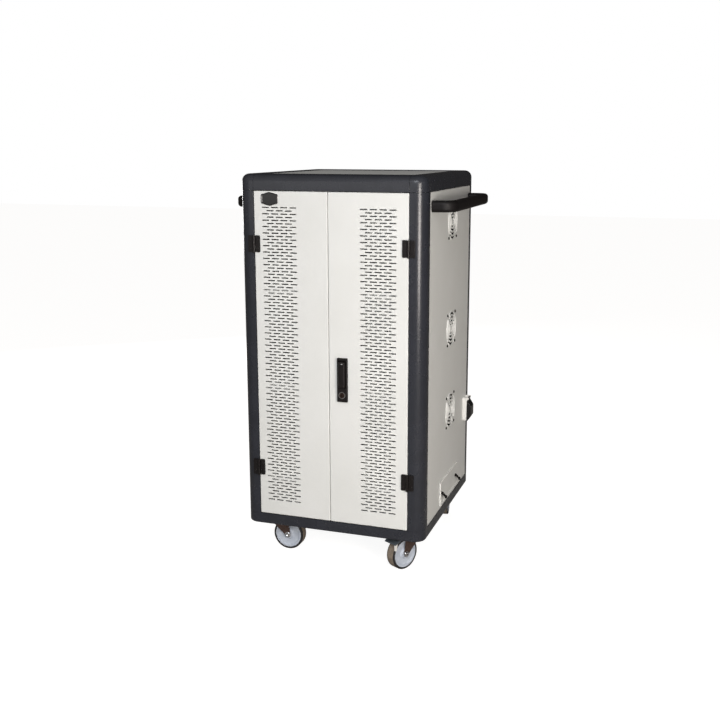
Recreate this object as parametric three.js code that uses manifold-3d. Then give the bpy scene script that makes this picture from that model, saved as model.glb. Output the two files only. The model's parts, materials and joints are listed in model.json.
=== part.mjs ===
// A laptop charging cart: a painted steel cabinet on four casters, with two perforated doors,
// a dark frame, side handles, fans, a power inlet, an access hatch and three divided shelves.
// Millimetres, +Z up, the front faces -Y, the floor is z = 0.
import * as THREE from "three";
import { mergeGeometries, mergeVertices } from "three/addons/utils/BufferGeometryUtils.js";
import Module from "manifold-3d";

const wasm = await Module();
wasm.setup();

// Cabinet: width and depth over the corner posts, and the height of the door opening.
const WIDTH = 576;
const DEPTH = 600;
const DOOR_HEIGHT = 1000;
const BOTTOM_RAIL = 28;
const TOP_RAIL = 48;
const POST_FACE = 48;
const POST_RADIUS = 36;
const POST_WALL = 6;
const TOP_EDGE_RADIUS = 22;
const BOTTOM_EDGE_RADIUS = 5;
const BASE_FLOOR = 4;
const SKIRT_DROP = 6;
const SEAT = 0.3;
const OVERRUN = 1;
const ARC_STEPS = 5;
const EDGE_STEPS = 3;
const PIN_SIDES = 8;
const BOSS_SIDES = 12;
const NUT_SIDES = 6;

// Folded sheet steel: wall, return flange, and how far the panels lie behind the posts.
const SHEET = 2;
const PANEL_FLANGE = 14;
const PANEL_INSET = 1;
const TOP_LEDGE = 12;
const TOP_RECESS = 5;

// Doors.
const DOOR_GAP = 1.5;
const DOOR_DEPTH = 20;
const DOOR_PARTING_X = -6;
const SLOT_LENGTH = 22.5;
const SLOT_HEIGHT = 3;
const SLOT_PITCH = 29.2;
const SLOT_ROW_PITCH = 18.84;
const SLOT_END_MARGIN = 46;
const SLOTS_IN_LONG_ROW = 4;
const SLOT_COLUMN_LEFT = 81;
const SLOT_COLUMN_RIGHT = 90.5;

// Surface hinges, one pair on each door.
const HINGE_HEIGHT = 50;
const HINGE_LEAF = 19;
const HINGE_THICK = 4;
const HINGE_KNUCKLE = 4.6;
const HINGE_PIN = 2.4;
const HINGE_PIN_TAIL = 2;
const HINGE_UPPER_FROM_TOP = 156;
const HINGE_LOWER_FROM_BOTTOM = 151;

// Blank badge plate.
const BADGE_WIDTH = 54;
const BADGE_HEIGHT = 41;
const BADGE_SHOULDER = 13;
const BADGE_THICK = 2;
const BADGE_FROM_EDGE = 51;
const BADGE_FROM_TOP = 23;

// Lock on the right door: case, folding pull lever, key barrel and cam.
const LOCK_FROM_PARTING = 44;
const LOCK_BOTTOM = 382;
const LOCK_WIDTH = 32;
const LOCK_HEIGHT = 133;
const LOCK_CASE_PROUD = 8;
const LOCK_BODY_WIDTH = 26;
const LOCK_BODY_MARGIN = 6;
const LOCK_BODY_DEPTH = 14;
const LEVER_PROUD = 16;
const LEVER_WIDTH = 21;
const LEVER_LENGTH = 80;
const LEVER_SCOOP = 26;
const LEVER_BACK = 3;
const LEVER_PIN = 2;
const LEVER_PIN_REACH = 2;
const LEVER_PIN_FROM_TOP = 4;
const RECESS_MARGIN = 1.5;
const RECESS_HEAD = 3.5;
const RECESS_DEPTH = 9.5;
const RECESS_FROM_TOP = 6;
const BARREL_RADIUS = 8;
const BARREL_PROUD = 11;
const BARREL_FROM_BOTTOM = 21;
const BARREL_TAIL = 4;
const CAM_LENGTH = 58;
const CAM_WIDTH = 16;
const CAM_THICK = 3;
const CAM_BEHIND_DOOR = 1;
const KEYWAY_WIDTH = 2;
const KEYWAY_HEIGHT = 9;
const KEYWAY_DEPTH = 4;

// Push handles on both sides.
const HANDLE_REACH = 70;
const HANDLE_HEIGHT = 34;
const HANDLE_THICK = 24;
const HANDLE_EDGE = 9;
const HANDLE_BEND = 42;
const HANDLE_BELOW_TOP = 89;
const HANDLE_FROM_REAR_POST = 8;
const RIGHT_HANDLE_FROM_FRONT_POST = 12;
const LEFT_HANDLE_FROM_FRONT_POST = 58;

// Casters.
const CASTER_HEIGHT = 120;
const CASTER_FROM_SIDE = 64;
const CASTER_FROM_END = 100;
const CASTER_TRAIL = 40;
const CASTER_PLATE = 88;
const CASTER_PLATE_THICK = 4;
const RACE_RADIUS = 24;
const RACE_HEIGHT = 6;
const STEM_RADIUS = 8;
const STEM_HEIGHT = 9;
const WHEEL_HEADROOM = 4.7;
const WHEEL_WIDTH = 32;
const WHEEL_SIDES = 16;
const TYRE_BAND = 8;
const DISC_RECESS = 3;
const HUB_RADIUS = 14;
const AXLE_RADIUS = 5;
const AXLE_NUT = 8;
const AXLE_NUT_THICK = 4;
const FORK_SHEET = 3;
const FORK_CLEAR = 1.5;
const FORK_CROWN = 5;
const FORK_CROWN_HALF = 20;
const FORK_EYE = 11;
const FORK_SHOULDER = 10;
const PEDAL_WIDTH = 26;
const PEDAL_TREAD_WIDTH = 48;
const PEDAL_THICK = 4;
const PEDAL_REACH = 60;
const PEDAL_FLAT = 24;
const PEDAL_DROP = 13;
const PEDAL_PIN = 2.2;
const PEDAL_PIN_BELOW_CROWN = 3.6;
const HEADING_FRONT_LEFT = 0;
const HEADING_FRONT_RIGHT = -120;
const HEADING_REAR_LEFT = 140;
const HEADING_REAR_RIGHT = 99;

// Fans behind the right panel, and the arc slots punched in front of them.
const FAN_Y = 18;
const FAN_LOWER_ABOVE_BASE = 296;
const FAN_MIDDLE_ABOVE_BASE = 563;
const FAN_UPPER_BELOW_RAIL = 103;
const FAN_SIZE = 120;
const FAN_DEPTH = 25;
const FAN_BORE = 56;
const FAN_HUB = 21;
const FAN_STRUT = 5;
const FAN_STRUT_THICK = 3;
const FAN_SHAFT = 3;
const FAN_AIR = 3;
const FAN_BLADES = 7;
const FAN_BLADE_CHORD = 15;
const FAN_BLADE_THICK = 2;
const FAN_BLADE_TIP = 2.5;
const FAN_BLADE_PITCH = 38;
const FAN_SIDES = 16;
const GRILLE_RINGS = 4;
const GRILLE_SECTORS = 4;
const GRILLE_FIRST = 11;
const GRILLE_PITCH = 11.6;
const GRILLE_SLOT = 7;
const GRILLE_BAR = 6;
const GRILLE_STEPS = 3;

// Power inlet on the right panel, near the rear.
const INLET_FROM_REAR_POST = 32;
const INLET_ABOVE_BASE = 246;
const INLET_WIDTH = 42;
const INLET_HEIGHT = 74;
const INLET_PROUD = 14;
const INLET_BODY_WIDTH = 34;
const INLET_BODY_HEIGHT = 58;
const INLET_BODY_DEPTH = 30;
const INLET_CAVITY_WIDTH = 26;
const INLET_CAVITY_HEIGHT = 42;
const INLET_CAVITY_DEPTH = 32;
const INLET_EAR = 5;
const INLET_EAR_HEIGHT = 7;
const INLET_EAR_LIP = 2;
const LID_THICK = 14;
const LID_EDGE = 3;
const LID_SLOPE = 18;
const LID_DROP = 4.5;
const LID_TAB_LAP = 6;
const LID_PIN = 2;

// Access hatch low on the right panel, with two drop-lever latches.
const HATCH_BEFORE_PARTITION = 116;
const HATCH_WIDTH = 216;
const HATCH_HEIGHT = 74;
const HATCH_ABOVE_RAIL = 16;
const HATCH_LAP = 8;
const HATCH_BARREL = 2.5;
const LATCH_INSET = 18;
const LATCH_ABOVE_HATCH = 34;
const LATCH_BOSS = 5;
const LATCH_PROUD = 6;
const LATCH_TONGUE = 20;
const LATCH_TONGUE_THICK = 3;
const LATCH_LEVER = 10;
const LATCH_LEAN = 10;
const LATCH_LEVER_WIDTH = 7;
const LATCH_LEVER_THICK = 5;
const LATCH_KNOB = 5.5;
const LATCH_KNOB_THICK = 8;

// Shelves with dividers, partition and power strip.
const SHELF_LOWER_ABOVE_BASE = 102;
const SHELF_SPACING = 300;
const SHELF_BEHIND_FRONT = 60;
const PARTITION_FROM_REAR = 180;
const SHELF_LIP = 15;
const BAYS = 8;
const DIVIDER_HEIGHT = 100;
const DIVIDER_FRONT_SETBACK = 30;
const CABLE_SLOTS = 4;
const CABLE_SLOT_WIDTH = 90;
const CABLE_SLOT_PITCH = 115;
const CABLE_SLOT_HEIGHT = 30;
const CABLE_SLOT_ABOVE_SHELF = 120;
const STRIP_WIDTH = 60;
const STRIP_DEPTH = 45;
const STRIP_LENGTH = 840;
const STRIP_SOCKETS = 9;
const SOCKET_SIZE = 34;
const SOCKET_DEPTH = 4;

// Levels and faces that follow from the sizes above.
const baseTop = CASTER_HEIGHT + BOTTOM_RAIL;
const doorBottom = baseTop + DOOR_GAP;
const doorTop = doorBottom + DOOR_HEIGHT;
const railBottom = doorTop + DOOR_GAP;
const top = railBottom + TOP_RAIL;
const halfWidth = WIDTH / 2;
const halfDepth = DEPTH / 2;
const openingX = halfWidth - POST_FACE;
const openingY = halfDepth - POST_FACE;
const front = -halfDepth;
const panelOuterX = halfWidth - PANEL_INSET;
const panelInnerX = panelOuterX - SHEET;
const lockX = DOOR_PARTING_X + LOCK_FROM_PARTING;
const casterX = halfWidth - CASTER_FROM_SIDE;
const casterY = halfDepth - CASTER_FROM_END;
const crownTop = CASTER_HEIGHT - CASTER_PLATE_THICK - RACE_HEIGHT - SEAT;
const wheelRadius = (crownTop - FORK_CROWN - WHEEL_HEADROOM) / 2;
const inletMidY = openingY - INLET_FROM_REAR_POST;
const inletMidZ = baseTop + INLET_ABOVE_BASE;
const partitionY = halfDepth - PARTITION_FROM_REAR;
const fanHeights = {
  lower: baseTop + FAN_LOWER_ABOVE_BASE,
  middle: baseTop + FAN_MIDDLE_ABOVE_BASE,
  upper: railBottom - FAN_UPPER_BELOW_RAIL,
};
const shelfLowerZ = baseTop + SHELF_LOWER_ABOVE_BASE;
const shelfHeights = {
  lower: shelfLowerZ,
  middle: shelfLowerZ + SHELF_SPACING,
  upper: shelfLowerZ + 2 * SHELF_SPACING,
};

// Plain finishes, as colour, roughness and metalness.
const FINISHES = {
  frame: ["#43454b", 0.5, 0.2],
  paint: ["#e4e3df", 0.45, 0.1],
  black: ["#1e1a19", 0.45, 0],
  zinc: ["#a9a7a3", 0.35, 0.9],
  chrome: ["#d8d8d8", 0.15, 1],
  wheel: ["#c4cbd6", 0.4, 0],
  white: ["#f2f2ee", 0.4, 0],
};

const cart = new THREE.Group();
cart.position.y = LEVER_PROUD / 2;

// Geometry to solid and back, for joins and cuts.
function solid(geometry) {
  const bare = geometry.index ? geometry.toNonIndexed() : geometry.clone();
  bare.deleteAttribute("normal");
  bare.deleteAttribute("uv");
  const merged = mergeVertices(bare, 1e-4);
  const vertProperties = merged.attributes.position.array;
  const triVerts = new Uint32Array(merged.index.array);
  return new wasm.Manifold(new wasm.Mesh({ numProp: 3, vertProperties, triVerts }));
}

function geometryOf(body) {
  const mesh = body.getMesh();
  const geometry = new THREE.BufferGeometry();
  geometry.setAttribute("position", new THREE.BufferAttribute(mesh.vertProperties, 3));
  geometry.setIndex(new THREE.BufferAttribute(mesh.triVerts, 1));
  geometry.computeVertexNormals();
  return geometry;
}

function piece(name, body, finish, parent = cart) {
  const [color, roughness, metalness] = FINISHES[finish];
  const material = new THREE.MeshStandardMaterial({ color, roughness, metalness });
  const mesh = new THREE.Mesh(geometryOf(body), material);
  mesh.name = name;
  parent.add(mesh);
  return mesh;
}

// Building blocks.
function boxGeometry(x, y, z) {
  const geometry = new THREE.BoxGeometry(x[1] - x[0], y[1] - y[0], z[1] - z[0]);
  return geometry.translate((x[0] + x[1]) / 2, (y[0] + y[1]) / 2, (z[0] + z[1]) / 2);
}

function block(x, y, z) {
  return solid(boxGeometry(x, y, z));
}

function around(middle, size) {
  return [middle - size / 2, middle + size / 2];
}

// A round bar between two places along one axis, centred at the two other coordinates.
function bar(axis, range, centre, radius, sides = BOSS_SIDES) {
  const geometry = new THREE.CylinderGeometry(radius, radius, range[1] - range[0], sides);
  const middle = (range[0] + range[1]) / 2;
  if (axis === "x") {
    geometry.rotateZ(Math.PI / 2).translate(middle, centre[0], centre[1]);
  } else if (axis === "y") {
    geometry.translate(centre[0], middle, centre[1]);
  } else {
    geometry.rotateX(Math.PI / 2).translate(centre[0], centre[1], middle);
  }
  return solid(geometry);
}

// A hole for a round bar, whose flats stay clear of the bar all round.
function bore(axis, range, centre, radius, sides = BOSS_SIDES) {
  return bar(axis, range, centre, (radius + SEAT) / Math.cos(Math.PI / sides), sides);
}

function arc(cx, cy, radius, from, to, steps = ARC_STEPS) {
  const points = [];
  for (let i = 0; i <= steps; i++) {
    const angle = THREE.MathUtils.degToRad(from + ((to - from) * i) / steps);
    points.push(new THREE.Vector2(cx + radius * Math.cos(angle), cy + radius * Math.sin(angle)));
  }
  return points;
}

function prism(points, depth, options = {}) {
  const settings = { depth, bevelEnabled: false, ...options };
  return new THREE.ExtrudeGeometry(new THREE.Shape(points), settings);
}

// A plan outline with round corners, and a slab of it with its long edges rounded.
function roundedOutline(width, depth, radius) {
  const x = width / 2 - radius;
  const y = depth / 2 - radius;
  const corners = [[x, y, 0], [-x, y, 90], [-x, -y, 180], [x, -y, 270]];
  return corners.flatMap(([cx, cy, from]) => arc(cx, cy, radius, from, from + 90));
}

function roundedSlab(width, depth, radius, edge, z) {
  const geometry = prism(roundedOutline(width, depth, radius), z[1] - z[0] - 2 * edge, {
    bevelEnabled: true,
    bevelSize: edge,
    bevelOffset: -edge,
    bevelThickness: edge,
    bevelSegments: EDGE_STEPS,
  });
  return solid(geometry.translate(0, 0, z[0] + edge));
}

function roundedCore(inset, z) {
  const outline = roundedOutline(WIDTH - 2 * inset, DEPTH - 2 * inset, POST_RADIUS - inset);
  return solid(prism(outline, z[1] - z[0]).translate(0, 0, z[0]));
}

// A folded sheet tray: a skin with return flanges, open on the side away from the skin.
function tray(outer, inner) {
  return block(...outer).subtract(block(...inner));
}

// Base: a rounded tray that carries the posts. A skirt drops round its floor, which holds the caster plates.
function baseFrame() {
  const slab = roundedSlab(WIDTH, DEPTH, POST_RADIUS, BOTTOM_EDGE_RADIUS, [
    CASTER_HEIGHT - SKIRT_DROP, baseTop + BOTTOM_EDGE_RADIUS,
  ]);
  const above = block([-WIDTH, WIDTH], [-DEPTH, DEPTH], [baseTop, top]);
  let base = slab
    .subtract(above)
    .subtract(roundedCore(POST_WALL, [CASTER_HEIGHT + BASE_FLOOR, top]))
    .subtract(roundedCore(POST_WALL, [0, CASTER_HEIGHT]));
  for (const [x, y] of casterPlaces()) {
    const plateZ = [CASTER_HEIGHT - CASTER_PLATE_THICK, CASTER_HEIGHT + BASE_FLOOR / 2];
    const raceZ = [plateZ[0] - RACE_HEIGHT, CASTER_HEIGHT];
    const wellZ = [raceZ[0] - OVERRUN, crownTop + STEM_HEIGHT + SEAT];
    base = base
      .add(block(around(x, CASTER_PLATE), around(y, CASTER_PLATE), plateZ))
      .add(bar("z", raceZ, [x, y], RACE_RADIUS))
      .subtract(bore("z", wellZ, [x, y], STEM_RADIUS));
  }
  return base;
}

function casterPlaces() {
  return [
    [-casterX, -casterY], [casterX, -casterY],
    [-casterX, casterY], [casterX, casterY],
  ];
}

piece("base_frame", baseFrame(), "frame");

// Corner posts: an angle with a broad round nose.
function cornerPost(sideX, sideY) {
  const cx = halfWidth - POST_RADIUS;
  const cy = halfDepth - POST_RADIUS;
  const outline = [
    new THREE.Vector2(openingX, halfDepth),
    ...arc(cx, cy, POST_RADIUS, 90, 0),
    new THREE.Vector2(halfWidth, openingY),
    new THREE.Vector2(halfWidth - POST_WALL, openingY),
    ...arc(cx, cy, POST_RADIUS - POST_WALL, 0, 90),
    new THREE.Vector2(openingX, halfDepth - POST_WALL),
  ];
  const turned = outline.map((p) => new THREE.Vector2(p.x * sideX, p.y * sideY));
  const z0 = baseTop + SEAT;
  return solid(prism(turned, railBottom - SEAT - z0).translate(0, 0, z0));
}

// Top surround: four corner mouldings and four rails, cut from one rounded ring. The rails carry a
// ledge for the top sheet.
const ledgeX = openingX - TOP_LEDGE;
const ledgeY = openingY - TOP_LEDGE;

function topRing() {
  const slab = roundedSlab(WIDTH, DEPTH, POST_RADIUS, TOP_EDGE_RADIUS, [
    railBottom - TOP_EDGE_RADIUS, top,
  ]);
  const below = block([-WIDTH, WIDTH], [-DEPTH, DEPTH], [0, railBottom]);
  return slab
    .subtract(below)
    .subtract(roundedCore(POST_WALL, [0, top - 2 * POST_WALL]))
    .subtract(block([-ledgeX, ledgeX], [-ledgeY, ledgeY], [0, 2 * top]))
    .subtract(block([-openingX, openingX], [-openingY, openingY], [top - TOP_RECESS, 2 * top]));
}

const ring = topRing();
const anyZ = [0, 2 * top];
const sides = { left: -1, right: 1 };
const ends = { front: -1, rear: 1 };
const span = (side, from, to) => (side < 0 ? [-to, -from] : [from, to]);

for (const [end, sideY] of Object.entries(ends)) {
  for (const [hand, sideX] of Object.entries(sides)) {
    const cornerX = span(sideX, openingX, WIDTH);
    const cornerY = span(sideY, openingY, DEPTH);
    piece(`post_${end}_${hand}`, cornerPost(sideX, sideY), "frame");
    piece(`top_corner_${end}_${hand}`, ring.intersect(block(cornerX, cornerY, anyZ)), "frame");
  }
  const railX = [-openingX + SEAT, openingX - SEAT];
  const sideless = block(railX, span(sideY, ledgeY, DEPTH), anyZ);
  piece(`top_rail_${end}`, ring.intersect(sideless), "frame");
}
for (const [hand, sideX] of Object.entries(sides)) {
  const railY = [-openingY + SEAT, openingY - SEAT];
  const shelfY = [-ledgeY + SEAT, ledgeY - SEAT];
  const endless = block(span(sideX, openingX, WIDTH), railY, anyZ);
  const inner = block(span(sideX, ledgeX - OVERRUN, openingX + OVERRUN), shelfY, anyZ);
  piece(`top_rail_${hand}`, ring.intersect(endless.add(inner)), "frame");
}

// Panels: the top sheet in its recess, two folded sides and a folded rear.
const topSheetX = openingX - SEAT;
const topSheetY = openingY - SEAT;
const topSheetZ = [top - TOP_RECESS + SEAT, top - TOP_RECESS + SEAT + SHEET];
piece("top_panel", block([-topSheetX, topSheetX], [-topSheetY, topSheetY], topSheetZ), "paint");

const panelZ = [baseTop + SEAT, railBottom - SEAT];
const skinZ = [panelZ[0] + SHEET, panelZ[1] - SHEET];

function sidePanel(sideX) {
  const y = [-openingY + SEAT, openingY - SEAT];
  const outer = [span(sideX, panelOuterX - PANEL_FLANGE, panelOuterX), y, panelZ];
  const hollowX = span(sideX, panelOuterX - 2 * PANEL_FLANGE, panelInnerX);
  return tray(outer, [hollowX, [y[0] + SHEET, y[1] - SHEET], skinZ]);
}

function rearPanel() {
  const x = [-openingX + SEAT, openingX - SEAT];
  const outerY = halfDepth - PANEL_INSET;
  const outer = [x, [outerY - PANEL_FLANGE, outerY], panelZ];
  const hollowY = [outerY - 2 * PANEL_FLANGE, outerY - SHEET];
  return tray(outer, [[x[0] + SHEET, x[1] - SHEET], hollowY, skinZ]);
}

// One fan's grille: rings of arc slots in four sectors, split by an X of plain bars.
function grilleCutters(z) {
  const cutters = [];
  for (let ringIndex = 0; ringIndex < GRILLE_RINGS; ringIndex++) {
    const inner = GRILLE_FIRST + ringIndex * GRILLE_PITCH;
    const outer = inner + GRILLE_SLOT;
    const sectorTurn = 360 / GRILLE_SECTORS;
    const barTurn = (radius) => THREE.MathUtils.radToDeg(Math.asin(GRILLE_BAR / 2 / radius));
    const reach = (radius) => sectorTurn / 2 - barTurn(radius);
    for (let sector = 0; sector < GRILLE_SECTORS; sector++) {
      const turn = sector * sectorTurn;
      const outline = [
        ...arc(0, 0, outer, turn - reach(outer), turn + reach(outer), GRILLE_STEPS),
        ...arc(0, 0, inner, turn + reach(inner), turn - reach(inner), GRILLE_STEPS),
      ];
      const cutter = prism(outline, 4 * SHEET);
      cutter.rotateX(Math.PI / 2).rotateZ(Math.PI / 2);
      cutters.push(cutter.translate(panelInnerX - SHEET, FAN_Y, z));
    }
  }
  return solid(mergeGeometries(cutters));
}

const hatchBottom = baseTop + HATCH_ABOVE_RAIL;
const hatchZ = [hatchBottom, hatchBottom + HATCH_HEIGHT];
const hatchY = around(partitionY - HATCH_BEFORE_PARTITION, HATCH_WIDTH);
const throughPanel = [panelInnerX - SHEET, panelOuterX + SHEET];

function rightPanel() {
  let panel = sidePanel(1);
  for (const z of Object.values(fanHeights)) {
    panel = panel.subtract(grilleCutters(z));
  }
  const inletY = around(inletMidY, INLET_BODY_WIDTH + 2 * SEAT);
  const inletZ = around(inletMidZ, INLET_BODY_HEIGHT + 2 * SEAT);
  const doorwayY = [hatchY[0] + HATCH_LAP, hatchY[1] - HATCH_LAP];
  const doorwayZ = [hatchZ[0] + HATCH_LAP, hatchZ[1] - HATCH_LAP];
  return panel
    .subtract(block(throughPanel, inletY, inletZ))
    .subtract(block(throughPanel, doorwayY, doorwayZ));
}

piece("left_side_panel", sidePanel(-1), "paint");
piece("right_side_panel", rightPanel(), "paint");
piece("rear_panel", rearPanel(), "paint");

// Doors: folded trays with staggered rows of long and short-count slots.
function slotCutters(centreX) {
  const cutters = [];
  const middleZ = (doorBottom + doorTop) / 2;
  const rowsEachWay = Math.floor((DOOR_HEIGHT / 2 - SLOT_END_MARGIN) / SLOT_ROW_PITCH);
  for (let row = -rowsEachWay; row <= rowsEachWay; row++) {
    const count = SLOTS_IN_LONG_ROW - Math.abs(row % 2);
    const z = middleZ + row * SLOT_ROW_PITCH;
    for (let i = 0; i < count; i++) {
      const x = centreX + (i - (count - 1) / 2) * SLOT_PITCH;
      const skin = [front - SHEET, front + 2 * SHEET];
      cutters.push(boxGeometry(around(x, SLOT_LENGTH), skin, around(z, SLOT_HEIGHT)));
    }
  }
  return solid(mergeGeometries(cutters));
}

function door(x, slotColumnX) {
  const z = [doorBottom, doorTop];
  const outer = [x, [front, front + DOOR_DEPTH], z];
  const innerX = [x[0] + SHEET, x[1] - SHEET];
  const innerZ = [z[0] + SHEET, z[1] - SHEET];
  const inner = [innerX, [front + SHEET, front + 2 * DOOR_DEPTH], innerZ];
  return tray(outer, inner).subtract(slotCutters(slotColumnX));
}

const doorEdge = openingX - DOOR_GAP;
const leftDoorX = [-doorEdge, DOOR_PARTING_X - DOOR_GAP / 2];
const rightDoorX = [DOOR_PARTING_X + DOOR_GAP / 2, doorEdge];
const lockZ = [doorBottom + LOCK_BOTTOM, doorBottom + LOCK_BOTTOM + LOCK_HEIGHT];
const lockBodyX = around(lockX, LOCK_BODY_WIDTH);
const lockBodyZ = [lockZ[0] + LOCK_BODY_MARGIN, lockZ[1] - LOCK_BODY_MARGIN];
const lockWindowX = [lockBodyX[0] - SEAT, lockBodyX[1] + SEAT];
const lockWindowZ = [lockBodyZ[0] - SEAT, lockBodyZ[1] + SEAT];
const lockWindow = block(lockWindowX, [front - SHEET, front + 2 * SHEET], lockWindowZ);
piece("left_door", door(leftDoorX, -doorEdge + SLOT_COLUMN_LEFT), "paint");
piece("right_door", door(rightDoorX, doorEdge - SLOT_COLUMN_RIGHT).subtract(lockWindow), "paint");

// Hinges: a frame leaf with the lower knuckle and the pin, and a door leaf with the upper knuckle.
const hingeAxisX = openingX - DOOR_GAP / 2;
const hingeAxisY = front - HINGE_KNUCKLE - SEAT;
const leafY = [front - SEAT - HINGE_THICK, front - SEAT];

function leafX(side, from, to) {
  const ends = [side * (hingeAxisX + from), side * (hingeAxisX + to)];
  return ends[0] < ends[1] ? ends : [ends[1], ends[0]];
}

// A leaf reaches its own knuckle in one half of the height and stays clear of the other knuckle.
function hingeLeaf(side, away, z, ownHalf) {
  const clear = HINGE_KNUCKLE + SEAT;
  const toKnuckle = leafX(side, 0, away * clear);
  const plate = block(leafX(side, away * clear, away * HINGE_LEAF), leafY, around(z, HINGE_HEIGHT));
  return plate
    .add(block([toKnuckle[0] - SEAT, toKnuckle[1] + SEAT], leafY, ownHalf))
    .add(bar("z", ownHalf, [side * hingeAxisX, hingeAxisY], HINGE_KNUCKLE, PIN_SIDES));
}

function frameLeaf(side, z) {
  const lowerHalf = [z - HINGE_HEIGHT / 2, z - SEAT / 2];
  const pinZ = [lowerHalf[0] - HINGE_PIN_TAIL, z + HINGE_HEIGHT / 2];
  const pin = bar("z", pinZ, [side * hingeAxisX, hingeAxisY], HINGE_PIN, PIN_SIDES);
  return hingeLeaf(side, 1, z, lowerHalf).add(pin);
}

function doorLeaf(side, z) {
  const upperHalf = [z + SEAT / 2, z + HINGE_HEIGHT / 2];
  const boreZ = [z - HINGE_HEIGHT, z + HINGE_HEIGHT];
  const pinHole = bore("z", boreZ, [side * hingeAxisX, hingeAxisY], HINGE_PIN, PIN_SIDES);
  return hingeLeaf(side, -1, z, upperHalf).subtract(pinHole);
}

const hingeHeights = {
  lower: doorBottom + HINGE_LOWER_FROM_BOTTOM,
  upper: doorTop - HINGE_UPPER_FROM_TOP,
};
for (const [hand, side] of Object.entries(sides)) {
  for (const [level, z] of Object.entries(hingeHeights)) {
    piece(`hinge_frame_leaf_${hand}_${level}`, frameLeaf(side, z), "black");
    piece(`hinge_door_leaf_${hand}_${level}`, doorLeaf(side, z), "black");
  }
}

// Blank badge: a six-sided plate with a low roof above and below.
function badge() {
  const x = -doorEdge + BADGE_FROM_EDGE;
  const z = doorTop - BADGE_FROM_TOP;
  const w = BADGE_WIDTH / 2;
  const h = BADGE_HEIGHT / 2;
  const corners = [[-w, -BADGE_SHOULDER], [0, -h], [w, -BADGE_SHOULDER], [w, BADGE_SHOULDER], [0, h]];
  corners.push([-w, BADGE_SHOULDER]);
  const outline = corners.map(([u, v]) => new THREE.Vector2(u, v));
  const plate = prism(outline, BADGE_THICK).rotateX(Math.PI / 2);
  return solid(plate.translate(x, front - SEAT, z));
}
piece("badge_plate", badge(), "black");

// Lock: a case with a recess for the lever and a bore for the key barrel.
const leverTop = lockZ[1] - RECESS_FROM_TOP - RECESS_HEAD;
const leverZ = [leverTop - LEVER_LENGTH, leverTop];
const leverX = around(lockX, LEVER_WIDTH);
const leverAxisZ = leverTop - LEVER_PIN_FROM_TOP;
const leverAxisY = front - (LEVER_BACK + LOCK_CASE_PROUD) / 2;
const barrelZ = lockZ[0] + BARREL_FROM_BOTTOM;
const camY = [front + DOOR_DEPTH + CAM_BEHIND_DOOR, front + DOOR_DEPTH + CAM_BEHIND_DOOR + CAM_THICK];

function lockCase() {
  const caseY = [front - LOCK_CASE_PROUD, front - SEAT];
  const bodyY = [front - SEAT - OVERRUN, front + LOCK_BODY_DEPTH];
  const recessX = [leverX[0] - RECESS_MARGIN, leverX[1] + RECESS_MARGIN];
  const recessZ = [leverZ[0] - RECESS_MARGIN, leverZ[1] + RECESS_HEAD];
  const recessY = [front - 2 * LEVER_PROUD, front - LOCK_CASE_PROUD + RECESS_DEPTH];
  const pinHoleX = around(lockX, LEVER_WIDTH + 2 * (LEVER_PIN_REACH + SEAT));
  const boreY = [front - LEVER_PROUD, camY[1]];
  return block(around(lockX, LOCK_WIDTH), caseY, lockZ)
    .add(block(lockBodyX, bodyY, lockBodyZ))
    .subtract(block(recessX, recessY, recessZ))
    .subtract(bore("x", pinHoleX, [leverAxisY, leverAxisZ], LEVER_PIN, PIN_SIDES))
    .subtract(bore("y", boreY, [lockX, barrelZ], BARREL_RADIUS));
}

// Pull lever: hinged at its top on a cross pin, with a finger scoop behind its lower end.
function pullLever() {
  const body = block(leverX, [front - LEVER_PROUD, front - LEVER_BACK], leverZ);
  const scoopY = [front - LOCK_CASE_PROUD, front];
  const scoopZ = [leverZ[0] - OVERRUN, leverZ[0] + LEVER_SCOOP];
  const scoop = block([leverX[0] - OVERRUN, leverX[1] + OVERRUN], scoopY, scoopZ);
  const pinX = around(lockX, LEVER_WIDTH + 2 * LEVER_PIN_REACH);
  return body.subtract(scoop).add(bar("x", pinX, [leverAxisY, leverAxisZ], LEVER_PIN, PIN_SIDES));
}

function keyBarrel() {
  const barrelY = [front - BARREL_PROUD, camY[0] - SEAT];
  const tailY = [camY[0] - OVERRUN, camY[1] + CAM_THICK];
  const keywayY = [front - BARREL_PROUD - OVERRUN, front - BARREL_PROUD + KEYWAY_DEPTH];
  const keyway = block(around(lockX, KEYWAY_WIDTH), keywayY, around(barrelZ, KEYWAY_HEIGHT));
  return bar("y", barrelY, [lockX, barrelZ], BARREL_RADIUS)
    .add(bar("y", tailY, [lockX, barrelZ], BARREL_TAIL, PIN_SIDES))
    .subtract(keyway);
}

function lockCam() {
  const armZ = [barrelZ - CAM_LENGTH, barrelZ];
  const hub = bar("y", camY, [lockX, barrelZ], CAM_WIDTH / 2);
  const arm = block(around(lockX, CAM_WIDTH), camY, armZ);
  const holeY = [camY[0] - OVERRUN, camY[1] + OVERRUN];
  const hole = bore("y", holeY, [lockX, barrelZ], BARREL_TAIL, PIN_SIDES);
  return arm.add(hub).subtract(hole);
}

piece("lock_case", lockCase(), "black");
piece("pull_lever", pullLever(), "black");
piece("key_barrel", keyBarrel(), "chrome");
piece("lock_cam", lockCam(), "zinc");

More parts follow.
